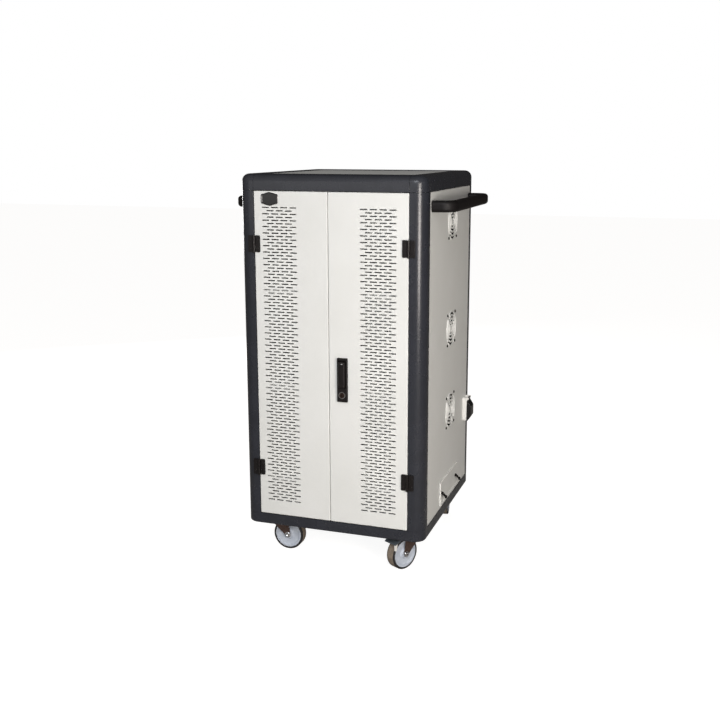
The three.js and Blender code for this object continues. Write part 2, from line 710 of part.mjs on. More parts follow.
// Handles: a rounded bar bent twice, with both ends flat against the panel.
function handle(fromFrontPost) {
  const frontY = -openingY + fromFrontPost;
  const rearY = openingY - HANDLE_FROM_REAR_POST;
  const inside = HANDLE_BEND - HANDLE_THICK;
  const outerX = halfWidth + HANDLE_REACH;
  const innerX = outerX - HANDLE_THICK;
  const rootX = panelOuterX - HANDLE_EDGE;
  const bendX = outerX - HANDLE_BEND;
  const frontBendY = frontY + HANDLE_BEND;
  const rearBendY = rearY - HANDLE_BEND;
  const outline = [
    new THREE.Vector2(rootX, frontY),
    ...arc(bendX, frontBendY, HANDLE_BEND, -90, 0),
    ...arc(bendX, rearBendY, HANDLE_BEND, 0, 90),
    new THREE.Vector2(rootX, rearY),
    new THREE.Vector2(rootX, rearY - HANDLE_THICK),
    ...arc(innerX - inside, rearBendY, inside, 90, 0),
    ...arc(innerX - inside, frontBendY, inside, 0, -90),
    new THREE.Vector2(rootX, frontY + HANDLE_THICK),
  ];
  const z = top - HANDLE_BELOW_TOP - HANDLE_HEIGHT / 2;
  const swept = prism(outline, HANDLE_HEIGHT - 2 * HANDLE_EDGE, {
    bevelEnabled: true,
    bevelSize: HANDLE_EDGE,
    bevelOffset: -HANDLE_EDGE,
    bevelThickness: HANDLE_EDGE,
    bevelSegments: EDGE_STEPS,
  });
  const behindPanel = block([0, panelOuterX + SEAT], [-DEPTH, DEPTH], anyZ);
  return solid(swept.translate(0, 0, z + HANDLE_EDGE)).subtract(behindPanel);
}

piece("right_handle", handle(RIGHT_HANDLE_FROM_FRONT_POST), "black");
piece("left_handle", handle(LEFT_HANDLE_FROM_FRONT_POST), "black").scale.x = -1;

// Casters: each group turns about its stem, and the wheel trails behind the stem along +X.
const legInner = WHEEL_WIDTH / 2 + FORK_CLEAR;
const legOuter = legInner + FORK_SHEET;
const pedalPinX = FORK_CROWN_HALF + FORK_SHOULDER;
const pedalPinZ = crownTop - PEDAL_PIN_BELOW_CROWN;

function casterFork(hasPedal) {
  const crownZ = [crownTop - FORK_CROWN, crownTop];
  const cheek = [
    new THREE.Vector2(-FORK_CROWN_HALF, crownZ[1]),
    new THREE.Vector2(-FORK_CROWN_HALF, crownZ[0] - FORK_SHOULDER),
    ...arc(CASTER_TRAIL, wheelRadius, FORK_EYE, 200, 360),
    new THREE.Vector2(pedalPinX + FORK_SHOULDER, crownZ[0]),
    new THREE.Vector2(pedalPinX + FORK_SHOULDER, crownZ[1]),
  ];
  const leg = prism(cheek, FORK_SHEET).rotateX(Math.PI / 2);
  const crown = block([-FORK_CROWN_HALF, FORK_CROWN_HALF], [-legOuter, legOuter], crownZ);
  const nutY = legOuter + AXLE_NUT_THICK;
  let fork = crown
    .add(solid(leg.clone().translate(0, -legInner, 0)))
    .add(solid(leg.translate(0, legOuter, 0)))
    .add(bar("z", [crownTop - OVERRUN, crownTop + STEM_HEIGHT], [0, 0], STEM_RADIUS))
    .add(bar("y", [-nutY, nutY], [CASTER_TRAIL, wheelRadius], AXLE_RADIUS, PIN_SIDES));
  for (const side of [-1, 1]) {
    const nut = span(side, legOuter - OVERRUN, nutY);
    fork = fork.add(bar("y", nut, [CASTER_TRAIL, wheelRadius], AXLE_NUT, NUT_SIDES));
  }
  if (hasPedal) {
    const holeY = [-2 * legOuter, 2 * legOuter];
    fork = fork.subtract(bore("y", holeY, [pedalPinX, pedalPinZ], PEDAL_PIN, PIN_SIDES));
  }
  return fork;
}

// Wheel: a turned disc with a raised hub and rim, standing on a flat facet of its tyre.
function wheel() {
  const half = WHEEL_WIDTH / 2;
  const rim = wheelRadius - TYRE_BAND;
  const shoulder = TYRE_BAND / 2;
  const widen = 1 / Math.cos(Math.PI / WHEEL_SIDES);
  const side = [
    [AXLE_RADIUS + SEAT, half],
    [HUB_RADIUS, half],
    [HUB_RADIUS + DISC_RECESS, half - DISC_RECESS],
    [rim - DISC_RECESS, half - DISC_RECESS],
    [rim, half],
    [wheelRadius - shoulder / 2, half],
    [wheelRadius, half - shoulder],
  ];
  const other = side.map(([r, y]) => [r, -y]).reverse();
  const loop = [...other.reverse(), ...side.reverse(), [AXLE_RADIUS + SEAT, -half]];
  const profile = loop.map(([r, y]) => new THREE.Vector2(r * widen, y));
  const turned = new THREE.LatheGeometry(profile, WHEEL_SIDES, Math.PI / WHEEL_SIDES);
  return solid(turned.translate(CASTER_TRAIL, 0, wheelRadius));
}

// Brake pedal: a flat arm over the wheel, on a cross pin in the fork, with a wide tread that dips.
function brakePedal() {
  const z = pedalPinZ;
  const half = PEDAL_THICK / 2;
  const bendX = pedalPinX + PEDAL_FLAT;
  const tipX = pedalPinX + PEDAL_REACH;
  const arm = block([pedalPinX - half, bendX], [-PEDAL_WIDTH / 2, PEDAL_WIDTH / 2], [z - half, z + half]);
  const outline = [
    new THREE.Vector2(bendX - half, z - half),
    new THREE.Vector2(bendX, z - half),
    new THREE.Vector2(tipX, z - half - PEDAL_DROP),
    new THREE.Vector2(tipX, z + half - PEDAL_DROP),
    new THREE.Vector2(bendX, z + half),
    new THREE.Vector2(bendX - half, z + half),
  ];
  const tread = prism(outline, PEDAL_TREAD_WIDTH).rotateX(Math.PI / 2);
  const dipped = solid(tread.translate(0, PEDAL_TREAD_WIDTH / 2, 0));
  const pinY = [-legOuter, legOuter];
  return arm.add(dipped).add(bar("y", pinY, [pedalPinX, pedalPinZ], PEDAL_PIN, PIN_SIDES));
}

function caster(place, x, y, heading, hasPedal) {
  const group = new THREE.Group();
  group.position.set(x, y, 0);
  group.rotation.z = THREE.MathUtils.degToRad(heading);
  cart.add(group);
  piece(`caster_fork_${place}`, casterFork(hasPedal), "zinc", group);
  piece(`wheel_${place}`, wheel(), "wheel", group);
  if (hasPedal) {
    piece(`brake_pedal_${place}`, brakePedal(), "frame", group);
  }
}

caster("front_left", -casterX, -casterY, HEADING_FRONT_LEFT, true);
caster("front_right", casterX, -casterY, HEADING_FRONT_RIGHT, true);
caster("rear_left", -casterX, casterY, HEADING_REAR_LEFT, false);
caster("rear_right", casterX, casterY, HEADING_REAR_RIGHT, false);

// Fans: a square frame with a hub on struts, and a bladed impeller on a short shaft.
const fanOuterX = panelInnerX - SEAT;
const fanInnerX = fanOuterX - FAN_DEPTH;
const rotorX = [fanInnerX + FAN_STRUT_THICK + FAN_AIR, fanOuterX - FAN_AIR];

function fanFrame(z) {
  const strutX = [fanInnerX, fanInnerX + FAN_STRUT_THICK];
  const wholeX = [fanInnerX - OVERRUN, fanOuterX + OVERRUN];
  const shaftX = [fanInnerX - OVERRUN, fanInnerX + 2 * FAN_STRUT_THICK];
  return block([fanInnerX, fanOuterX], around(FAN_Y, FAN_SIZE), around(z, FAN_SIZE))
    .subtract(bar("x", wholeX, [FAN_Y, z], FAN_BORE, FAN_SIDES))
    .add(block(strutX, around(FAN_Y, FAN_SIZE), around(z, FAN_STRUT)))
    .add(block(strutX, around(FAN_Y, FAN_STRUT), around(z, FAN_SIZE)))
    .add(bar("x", strutX, [FAN_Y, z], FAN_HUB))
    .subtract(bore("x", shaftX, [FAN_Y, z], FAN_SHAFT, PIN_SIDES));
}

function fanImpeller(z) {
  const length = FAN_BORE - FAN_BLADE_TIP - FAN_HUB + OVERRUN;
  let rotor = bar("x", rotorX, [0, 0], FAN_HUB);
  rotor = rotor.add(bar("x", [fanInnerX, rotorX[0] + OVERRUN], [0, 0], FAN_SHAFT, PIN_SIDES));
  for (let i = 0; i < FAN_BLADES; i++) {
    const blade = new THREE.BoxGeometry(FAN_BLADE_CHORD, FAN_BLADE_THICK, length);
    blade.rotateZ(THREE.MathUtils.degToRad(FAN_BLADE_PITCH));
    blade.translate((rotorX[0] + rotorX[1]) / 2, 0, FAN_HUB - OVERRUN + length / 2);
    blade.rotateX((i * 2 * Math.PI) / FAN_BLADES);
    rotor = rotor.add(solid(blade));
  }
  return solid(geometryOf(rotor).translate(0, FAN_Y, z));
}

for (const [level, z] of Object.entries(fanHeights)) {
  piece(`fan_frame_${level}`, fanFrame(z), "black");
  piece(`fan_impeller_${level}`, fanImpeller(z), "black");
}

// Power inlet: a housing with a plug cavity and two ears, and a lid hinged between the ears.
const inletFaceX = panelOuterX + SEAT + INLET_PROUD;
const inletY = around(inletMidY, INLET_WIDTH);
const inletZ = around(inletMidZ, INLET_HEIGHT);
const lidAxisX = inletFaceX + LID_PIN;
const lidAxisZ = inletZ[1] + INLET_EAR_HEIGHT / 2;

function inletHousing() {
  const earX = [inletFaceX - INLET_PROUD, lidAxisX + LID_PIN + INLET_EAR_LIP];
  const earZ = [inletZ[1] - OVERRUN, inletZ[1] + INLET_EAR_HEIGHT];
  const ears = block(earX, inletY, earZ).subtract(
    block([inletFaceX + SEAT / 2, 2 * WIDTH], inletY, [0, inletZ[1] + SEAT]),
  );
  const betweenY = [inletY[0] + INLET_EAR, inletY[1] - INLET_EAR];
  const between = block([inletFaceX - INLET_PROUD - OVERRUN, 2 * WIDTH], betweenY, [inletZ[1], 2 * top]);
  const bodyX = [panelInnerX - INLET_BODY_DEPTH, inletFaceX];
  const bodyY = around(inletMidY, INLET_BODY_WIDTH);
  const body = block(bodyX, bodyY, around(inletMidZ, INLET_BODY_HEIGHT));
  const cavity = block(
    [inletFaceX - INLET_CAVITY_DEPTH, inletFaceX + OVERRUN],
    around(inletMidY, INLET_CAVITY_WIDTH),
    around(inletMidZ, INLET_CAVITY_HEIGHT),
  );
  const pinHoleY = [inletY[0] - OVERRUN, inletY[1] + OVERRUN];
  return block([panelOuterX + SEAT, inletFaceX], inletY, inletZ)
    .add(ears.subtract(between))
    .add(body)
    .subtract(cavity)
    .subtract(bore("y", pinHoleY, [lidAxisX, lidAxisZ], LID_PIN, PIN_SIDES));
}

// Lid: a hooded cover that slopes to thin upper and lower edges.
function inletLid() {
  const faceX = inletFaceX + SEAT;
  const lidTop = inletZ[1] - LID_DROP;
  const outline = [
    new THREE.Vector2(faceX, inletZ[0]),
    new THREE.Vector2(faceX + LID_EDGE, inletZ[0]),
    new THREE.Vector2(faceX + LID_THICK, inletZ[0] + LID_SLOPE),
    new THREE.Vector2(faceX + LID_THICK, lidTop - LID_SLOPE),
    new THREE.Vector2(faceX + LID_EDGE, lidTop),
    new THREE.Vector2(faceX, lidTop),
  ];
  const hood = prism(outline, INLET_WIDTH).rotateX(Math.PI / 2).translate(0, inletY[1], 0);
  const tabY = [inletY[0] + INLET_EAR + SEAT, inletY[1] - INLET_EAR - SEAT];
  const tabX = [faceX, lidAxisX + LID_PIN];
  const tab = block(tabX, tabY, [lidTop - LID_TAB_LAP, lidAxisZ]);
  return solid(hood)
    .add(tab)
    .add(bar("y", tabY, [lidAxisX, lidAxisZ], LID_PIN, PIN_SIDES))
    .add(bar("y", inletY, [lidAxisX, lidAxisZ], LID_PIN, PIN_SIDES));
}

piece("inlet_housing", inletHousing(), "white");
piece("inlet_lid", inletLid(), "black");

// Access hatch: a plate over the doorway in the panel, hinged along its lower edge.
const hatchX = [panelOuterX + SEAT, panelOuterX + SEAT + SHEET];
const hatchAxisX = panelOuterX + SEAT + HATCH_BARREL;
const throughHatch = [hatchX[0] - SHEET, hatchX[1] + SHEET];
const latchZ = hatchZ[0] + LATCH_ABOVE_HATCH;
const latchPlaces = { front: hatchY[0] + LATCH_INSET, rear: hatchY[1] - LATCH_INSET };

function accessHatch() {
  let plate = block(hatchX, hatchY, hatchZ);
  plate = plate.add(bar("y", hatchY, [hatchAxisX, hatchZ[0]], HATCH_BARREL, PIN_SIDES));
  for (const y of Object.values(latchPlaces)) {
    plate = plate.subtract(bore("x", throughHatch, [y, latchZ], LATCH_BOSS, PIN_SIDES));
  }
  return plate;
}

// Latch: a boss through the hatch, a lever that leans out to a knob, and a tongue inside.
function hatchLatch(y) {
  const tongueX = [panelInnerX - SEAT - LATCH_TONGUE_THICK, panelInnerX - SEAT];
  const leverX = [hatchX[1] + LATCH_PROUD - LATCH_LEVER_THICK, hatchX[1] + LATCH_PROUD];
  const knobX = [leverX[0] + LATCH_LEAN, leverX[0] + LATCH_LEAN + LATCH_KNOB_THICK];
  const knobZ = latchZ - LATCH_LEVER;
  const outline = [
    new THREE.Vector2(leverX[0], latchZ),
    new THREE.Vector2(leverX[0] + LATCH_LEAN, knobZ),
    new THREE.Vector2(leverX[1] + LATCH_LEAN, knobZ),
    new THREE.Vector2(leverX[1], latchZ),
  ];
  const lever = prism(outline, LATCH_LEVER_WIDTH).rotateX(Math.PI / 2);
  return bar("x", [tongueX[0], leverX[1]], [y, latchZ], LATCH_BOSS, PIN_SIDES)
    .add(block(tongueX, around(y, LATCH_BOSS), [latchZ - LATCH_TONGUE, latchZ]))
    .add(solid(lever.translate(0, y + LATCH_LEVER_WIDTH / 2, 0)))
    .add(bar("x", knobX, [y, knobZ], LATCH_KNOB, PIN_SIDES));
}

piece("access_hatch", accessHatch(), "paint");
for (const [end, y] of Object.entries(latchPlaces)) {
  piece(`hatch_latch_${end}`, hatchLatch(y), "black");
}

// Shelves: a deck with a front lip and upright dividers between the laptop bays.
const shelfHalf = panelInnerX - SEAT;
const bayWidth = (2 * shelfHalf) / BAYS;

function shelf(z) {
  const y = [front + SHELF_BEHIND_FRONT, partitionY - SEAT];
  const across = [-shelfHalf, shelfHalf];
  const lip = block(across, [y[0], y[0] + SHEET], [z - SHELF_LIP, z]);
  let body = block(across, y, [z - SHEET, z]).add(lip);
  for (let i = 1; i < BAYS; i++) {
    const x = around(-shelfHalf + i * bayWidth, SHEET);
    body = body.add(block(x, [y[0] + DIVIDER_FRONT_SETBACK, y[1]], [z - SHEET, z + DIVIDER_HEIGHT]));
  }
  return body;
}

for (const [level, z] of Object.entries(shelfHeights)) {
  piece(`shelf_${level}`, shelf(z), "paint");
}

// Partition behind the bays, with a cable slot for each shelf, and the power strip behind it.
function partition() {
  const z = [CASTER_HEIGHT + BASE_FLOOR + SEAT, railBottom - SEAT];
  const y = [partitionY, partitionY + SHEET];
  let wall = block([-shelfHalf, shelfHalf], y, [skinZ[0] + SEAT, skinZ[1] - SEAT]);
  const slotY = [y[0] - OVERRUN, y[1] + OVERRUN];
  const foot = openingX - SEAT;
  wall = wall.add(block([-foot, foot], y, z));
  for (const shelfZ of Object.values(shelfHeights)) {
    const slotZ = around(shelfZ + CABLE_SLOT_ABOVE_SHELF, CABLE_SLOT_HEIGHT);
    for (let i = 0; i < CABLE_SLOTS; i++) {
      const x = (i - (CABLE_SLOTS - 1) / 2) * CABLE_SLOT_PITCH;
      wall = wall.subtract(block(around(x, CABLE_SLOT_WIDTH), slotY, slotZ));
    }
  }
  return wall;
}

function powerStrip() {
  const y = [partitionY + SHEET + SEAT, partitionY + SHEET + SEAT + STRIP_DEPTH];
  const middleZ = (baseTop + railBottom) / 2;
  let strip = block(around(0, STRIP_WIDTH), y, around(middleZ, STRIP_LENGTH));
  const pitch = STRIP_LENGTH / STRIP_SOCKETS;
  for (let i = 0; i < STRIP_SOCKETS; i++) {
    const z = middleZ + (i - (STRIP_SOCKETS - 1) / 2) * pitch;
    const pocketY = [y[1] - SOCKET_DEPTH, y[1] + OVERRUN];
    strip = strip.subtract(block(around(0, SOCKET_SIZE), pocketY, around(z, SOCKET_SIZE)));
  }
  return strip;
}

piece("partition", partition(), "paint");
piece("power_strip", powerStrip(), "white");

export default cart;
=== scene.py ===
# %% [markdown]
# # A laptop charging cart
# A charging cart is a painted steel cabinet on casters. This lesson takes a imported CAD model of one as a
# fixed frame and dresses it for a studio picture: folded sheet with punched slots, moulded trim, hinges,
# a lock, handles, wheels and fans. Every piece takes its place from the frame, so nothing is fitted by eye.

# %% Load the frame
import json
from math import asin, atan2, cos, degrees, pi, radians, sin

import bmesh
import bpy
from mathutils import Matrix, Vector


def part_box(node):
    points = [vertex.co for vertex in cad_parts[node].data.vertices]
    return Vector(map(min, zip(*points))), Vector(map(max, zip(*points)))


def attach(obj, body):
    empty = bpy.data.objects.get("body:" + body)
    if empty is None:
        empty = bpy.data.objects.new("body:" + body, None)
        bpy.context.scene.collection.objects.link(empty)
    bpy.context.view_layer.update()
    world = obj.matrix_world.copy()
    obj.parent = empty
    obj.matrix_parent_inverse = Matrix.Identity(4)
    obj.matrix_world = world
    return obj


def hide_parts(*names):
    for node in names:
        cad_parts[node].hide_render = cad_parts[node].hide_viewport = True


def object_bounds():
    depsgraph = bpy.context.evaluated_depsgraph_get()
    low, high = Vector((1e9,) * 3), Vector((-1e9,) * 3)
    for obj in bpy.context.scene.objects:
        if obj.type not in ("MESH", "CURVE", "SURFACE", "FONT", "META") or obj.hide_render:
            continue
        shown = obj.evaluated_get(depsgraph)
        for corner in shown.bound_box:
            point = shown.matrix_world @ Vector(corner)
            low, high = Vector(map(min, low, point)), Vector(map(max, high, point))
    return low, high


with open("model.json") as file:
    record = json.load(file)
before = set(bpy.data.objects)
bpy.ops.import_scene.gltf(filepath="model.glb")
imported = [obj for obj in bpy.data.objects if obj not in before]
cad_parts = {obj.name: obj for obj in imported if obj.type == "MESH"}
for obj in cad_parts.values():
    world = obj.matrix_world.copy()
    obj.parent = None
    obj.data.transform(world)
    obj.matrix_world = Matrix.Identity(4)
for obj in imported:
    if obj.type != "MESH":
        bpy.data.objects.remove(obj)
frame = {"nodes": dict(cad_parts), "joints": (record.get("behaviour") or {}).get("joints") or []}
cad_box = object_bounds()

MM = 0.001


def ranges(box):
    """The x, y and z ranges of a box."""
    return list(zip(*box))


def mm(*sizes):
    """Sizes in millimetres as Blender's metres."""
    return [size * MM for size in sizes]


def show(what, edges, way):
    """Prints the length of a range in mm."""
    print(what, round((edges[1] - edges[0]) / MM), "mm", way)


def new_object(name, data):
    """A new object in the scene."""
    made = bpy.data.objects.new(name, data)
    bpy.context.collection.objects.link(made)
    return made


low, high = (Vector(corner) for corner in cad_box)
print("CAD box, mm:", [round(size / MM) for size in high - low])

# %% [markdown]
# ## Camera
# The photograph looks at the cart from the front, a little to the right and a little above. A normal lens
# from about three metres gives the same gentle perspective. Matching the camera first means that every
# later piece can be compared with the photograph.

# %% Camera
CAMERA_PLACE = (0.999, -2.886, 1.282)
CAMERA_YAW = 18.254
CAMERA_PITCH = 10.889
FOCAL_LENGTH = 47.97
CAMERA_SHIFT = (-0.0231, -0.0424)

camera_data = bpy.data.cameras.new("photo_camera")
camera_data.lens = FOCAL_LENGTH
camera_data.shift_x, camera_data.shift_y = CAMERA_SHIFT
camera = new_object("photo_camera", camera_data)
camera.location = CAMERA_PLACE
camera.rotation_euler = (radians(90 - CAMERA_PITCH), 0, radians(CAMERA_YAW))
bpy.context.scene.camera = camera
bpy.context.scene.view_settings.view_transform = "Standard"
print("camera", round(Vector(CAMERA_PLACE).length, 2), "m from the origin")

# %% [markdown]
# ## Nodes and colours
# Colours are easiest to write as the hex codes that a screen shows, but the renderer works in linear light,
# so one function turns them over. A second function adds any shader node, sets its values and links its
# inputs, which keeps each material down to a few readable lines.


# %% Node helpers
def srgb(code):
    """A hex colour as linear red, green, blue and alpha."""
    values = [int(code[i:i + 2], 16) / 255 for i in (1, 3, 5)]
    linear = [v / 12.92 if v <= 0.04045 else ((v + 0.055) / 1.055) ** 2.4 for v in values]
    return (*linear, 1.0)


def add(tree, kind, inputs=None, output=0, **settings):
    """Adds a node and gives an output. An input that is a socket is linked, and any other set as a value."""
    made = tree.nodes.new("ShaderNode" + kind)
    for name, value in settings.items():
        setattr(made, name, value)
    for name, value in (inputs or {}).items():
        if isinstance(value, bpy.types.NodeSocket):
            tree.links.new(value, made.inputs[name])
        else:
            made.inputs[name].default_value = value
    return made.outputs[output]


def new_material(name, **values):
    """A Principled material with constant values on its sockets. Gives the material, tree and shader."""
    material = bpy.data.materials.new(name)
    material.use_nodes = True
    tree = material.node_tree
    shader = tree.nodes["Principled BSDF"]
    for socket, value in values.items():
        shader.inputs[socket.replace("_", " ")].default_value = value
    return material, tree, shader


# %% [markdown]
# ## Finishes
# The cabinet is powder coated: a dry paint that is baked until it flows, which leaves a faint orange-peel
# skin. The trim is a darker coat with a coarser texture. Each finish below is named for the real one, and
# its grain is set in millimetres so that it stays the right size on every piece.

# %% Textured finish
TONE_FROM, TONE_TO = 0.3, 0.7
GRAIN_STRENGTH = 0.5


def textured(name, colours, patch, rough, grain, depth, **values):
    """Two colours in cloudy patches, a roughness that wanders and a grain with a depth. Sizes are in mm."""
    material, tree, shader = new_material(name, **values)
    place = add(tree, "TexCoord", output="Object")
    cloud = add(tree, "TexNoise", {"Vector": place, "Scale": 1 / (patch * MM), "Detail": 4.0})
    speck = add(tree, "TexNoise", {"Vector": place, "Scale": 1 / (grain * MM), "Detail": 2.0})
    tone = add(tree, "MapRange", {"Value": cloud, "From Min": TONE_FROM, "From Max": TONE_TO})
    mix = add(tree, "Mix", {0: tone, 6: srgb(colours[0]), 7: srgb(colours[1])}, 2, data_type="RGBA")
    gloss = add(tree, "MapRange", {"Value": cloud, "To Min": rough[0], "To Max": rough[1]})
    felt = {"Height": speck, "Strength": GRAIN_STRENGTH, "Distance": depth * MM}
    tree.links.new(mix, shader.inputs["Base Color"])
    tree.links.new(gloss, shader.inputs["Roughness"])
    tree.links.new(add(tree, "Bump", felt), shader.inputs["Normal"])
    return material


# %% Painted steel
# Off-white powder coat: even and bright, with a fine skin that only shows where light grazes it.
white_coat = textured("powder_coat_off_white", ("#E6E7E4", "#E0E1DD"), 180, (0.38, 0.52), 1.4, 0.03)

# Charcoal powder coat: blue-grey and slightly rough, so that round posts carry a long soft highlight.
frame_coat = textured("powder_coat_charcoal", ("#2E3037", "#282A30"), 60, (0.24, 0.31), 0.9, 0.03)

# Slate pedal: a coarse dark coat that is worn a little paler than the frame.
slate_coat = textured("slate_pedal_coat", ("#4E565C", "#434A50"), 12, (0.4, 0.55), 0.8, 0.08)
print("coats made")

# %% Plastics and rubbers
# Grained black plastic, on handles and latches: dull, with a leathery moulded grain.
black_plastic = textured("moulded_black_plastic", ("#0E0C0C", "#141111"), 30, (0.42, 0.58), 0.8, 0.06,
                         Specular_IOR_Level=0.25)

# Black gloss of the badge and inlet lid: polished plastic that mirrors the studio.
black_gloss = textured("gloss_black_plastic", ("#0E0D0E", "#121112"), 12, (0.12, 0.2), 2.0, 0.004)

# White plastic of the inlet: warmer and smoother than the paint round it.
white_plastic = textured("moulded_white_plastic", ("#F1F0EC", "#EAE9E4"), 25, (0.3, 0.42), 1.0, 0.01)

# Nylon wheel core: pale blue-grey, half matt, a little cloudy as filled nylon is.
wheel_nylon = textured("pale_grey_nylon", ("#C9D0DA", "#BAC2CE"), 14, (0.4, 0.55), 0.7, 0.03)

# Tread of the tyre: taupe rubber that is scuffed and dry.
tread_rubber = textured("taupe_tread_rubber", ("#978A7A", "#7B7064"), 9, (0.65, 0.85), 0.6, 0.12)

# Shoulder of the tyre: near-black rubber with a dull shine.
black_rubber = textured("black_rubber", ("#262526", "#1C1B1C"), 9, (0.5, 0.65), 0.6, 0.08)
print("plastics and rubbers made")

# %% Bare and plated metal
# Black zinc on hinges and lock: a thin dark plating with a satin shine and brown depth.
black_zinc = textured("black_zinc", ("#151212", "#1C1716"), 8, (0.34, 0.48), 0.5, 0.02, Metallic=0.35)

# Zinc plate of the lock cam: warm grey and cloudy, with crystals that vary its shine.
zinc_plate = textured("zinc_plate", ("#A79C92", "#8E8178"), 7, (0.24, 0.46), 0.5, 0.02, Metallic=1.0)

# Chrome of the lock collar and axle bolts: bright, with hair scratches that break its reflections.
chrome = textured("polished_chrome", ("#E6E6E6", "#DADADB"), 5, (0.06, 0.16), 0.3, 0.004, Metallic=1.0)

# Nickel of the key barrel: metallic, with a dark brown colour that is a painted reflection of dark brown
# surroundings, and a shine only where light falls straight back.
nickel_painted_brown_reflection = textured("nickel_painted_brown_reflection", ("#6A5850", "#4A3D38"), 5, (0.16, 0.28), 0.3, 0.01, Metallic=1.0)

# Zinc of plates and forks under the cart: the same plating, made darker, browner and duller than the cam's.
fork_zinc = textured("dark_brown_zinc_plate", ("#6B5850", "#574640"), 9, (0.4, 0.6), 0.6, 0.04, Metallic=0.7)
print("metals made")

# %% [markdown]
# ## Mesh helpers
# Most sheet and moulded parts are lofts: a closed loop of points that is carried from place to place, with
# faces between neighbouring loops. A prism is a loft of two loops, a turned part is a loft of circles, and
# a bent handle is a loft along a path. One loft function therefore builds nearly everything here.

# %% Outlines
ARC_STEPS = 10
PLATE_STEPS = 6
FILLET_STEPS = 5
SMALL_SIDES = 24
LEAST_CORNER, FINE_CORNER, SMALL_CORNER, CORNER, BROAD_CORNER = mm(0.1, 1, 2, 3, 4)


def arc(centre, radius, start, end, steps=ARC_STEPS):
    """Points on an arc, from one angle in degrees to another."""
    turn = [radians(start + (end - start) * i / steps) for i in range(steps + 1)]
    return [(centre[0] + radius * cos(a), centre[1] + radius * sin(a)) for a in turn]


def circle(centre, radius, sides):
    """A round outline."""
    return arc(centre, radius, 0, 360 * (sides - 1) / sides, sides - 1)


def span(middle, size):
    """The range of a given size about a middle."""
    return (middle - size / 2, middle + size / 2)


def shrunk(edges, inset):
    """A range that is shorter by an inset at both ends."""
    return (edges[0] + inset, edges[1] - inset)


def rounded(u, v, radius, steps=ARC_STEPS):
    """A rectangle over two ranges with round corners, counter-clockwise."""
    (u0, u1), (v0, v1) = shrunk(u, radius), shrunk(v, radius)
    points = []
    for corner, start in (((u1, v1), 0), ((u0, v1), 90), ((u0, v0), 180), ((u1, v0), 270)):
        points += arc(corner, radius, start, start + 90, steps)
    return points


def plate(u, v, radius):
    """The outline of a round-cornered plate, as a function of its inset."""
    return lambda inset: rounded(
        shrunk(u, inset), shrunk(v, inset), max(radius - inset, LEAST_CORNER), PLATE_STEPS)


def chamfered(back, face, edge):
    """Insets and levels of a plate, from its back to a face with a chamfered edge."""
    return [(0, back), (0, face - edge), (edge, face)]


def moved(shape, u, v):
    """A small shape in mm, put at a place."""
    return [(u + across * MM, v + up * MM) for across, up in shape]


def filleted(corners, radius):
    """A polygon whose corners are rounded by short curves."""
    points = []
    for i, corner in enumerate(corners):
        here, before, after = Vector(corner), Vector(corners[i - 1]), Vector(corners[(i + 1) % len(corners)])
        start = here + (before - here).normalized() * radius
        finish = here + (after - here).normalized() * radius
        for t in (k / FILLET_STEPS for k in range(FILLET_STEPS + 1)):
            points.append(tuple(start * (1 - t) ** 2 + here * 2 * t * (1 - t) + finish * t ** 2))
    return points


def stadium(u, v, length, height, steps=FILLET_STEPS):
    """A slot with round ends."""
    reach = (length - height) / 2
    right = arc((u + reach, v), height / 2, -90, 90, steps)
    return right + arc((u - reach, v), height / 2, 90, 270, steps)


# %% Lofts
TURNED_SIDES = 40
PLANES = {
    "x": lambda u, v, w: Vector((w, u, v)),
    "y": lambda u, v, w: Vector((u, w, v)),
    "z": lambda u, v, w: Vector((u, v, w)),
}


def loft(bm, loops, closed=False, caps=True):
    """Faces between neighbouring loops of points, with end caps unless the last loop meets the first."""
    rings = [[bm.verts.new(point) for point in loop] for loop in loops]
    pairs = list(zip(rings, rings[1:]))
    if closed:
        pairs.append((rings[-1], rings[0]))
    for ring, after in pairs:
        for i in range(len(ring)):
            j = (i + 1) % len(ring)
            bm.faces.new((ring[i], ring[j], after[j], after[i]))
    if caps and not closed:
        bm.faces.new(rings[0])
        bm.faces.new(rings[-1])
    return bm


def raised(bm, axis, layers, closed=False):
    """A loft through flat outlines, each with its place along an axis."""
    return loft(bm, [[PLANES[axis](u, v, w) for u, v in outline] for outline, w in layers], closed)


def prism(bm, axis, outline, ends):
    """An outline carried straight along an axis."""
    return raised(bm, axis, [(outline, w) for w in ends])


def stacked(bm, axis, outline, levels):
    """One outline at several insets and places along an axis, as in a moulding."""
    return raised(bm, axis, [(outline(inset), w) for inset, w in levels])


def turned(bm, axis, centre, profile, sides=TURNED_SIDES, closed=False):
    """A turned part: each profile point is a radius and a place along the axis."""
    return raised(bm, axis, [(circle(centre, radius, sides), w) for radius, w in profile], closed)


# %% Pieces
WELD = 2e-6
SHARP_ANGLE = 35
EASE = 0.5 * MM
EASE_STEPS = 2


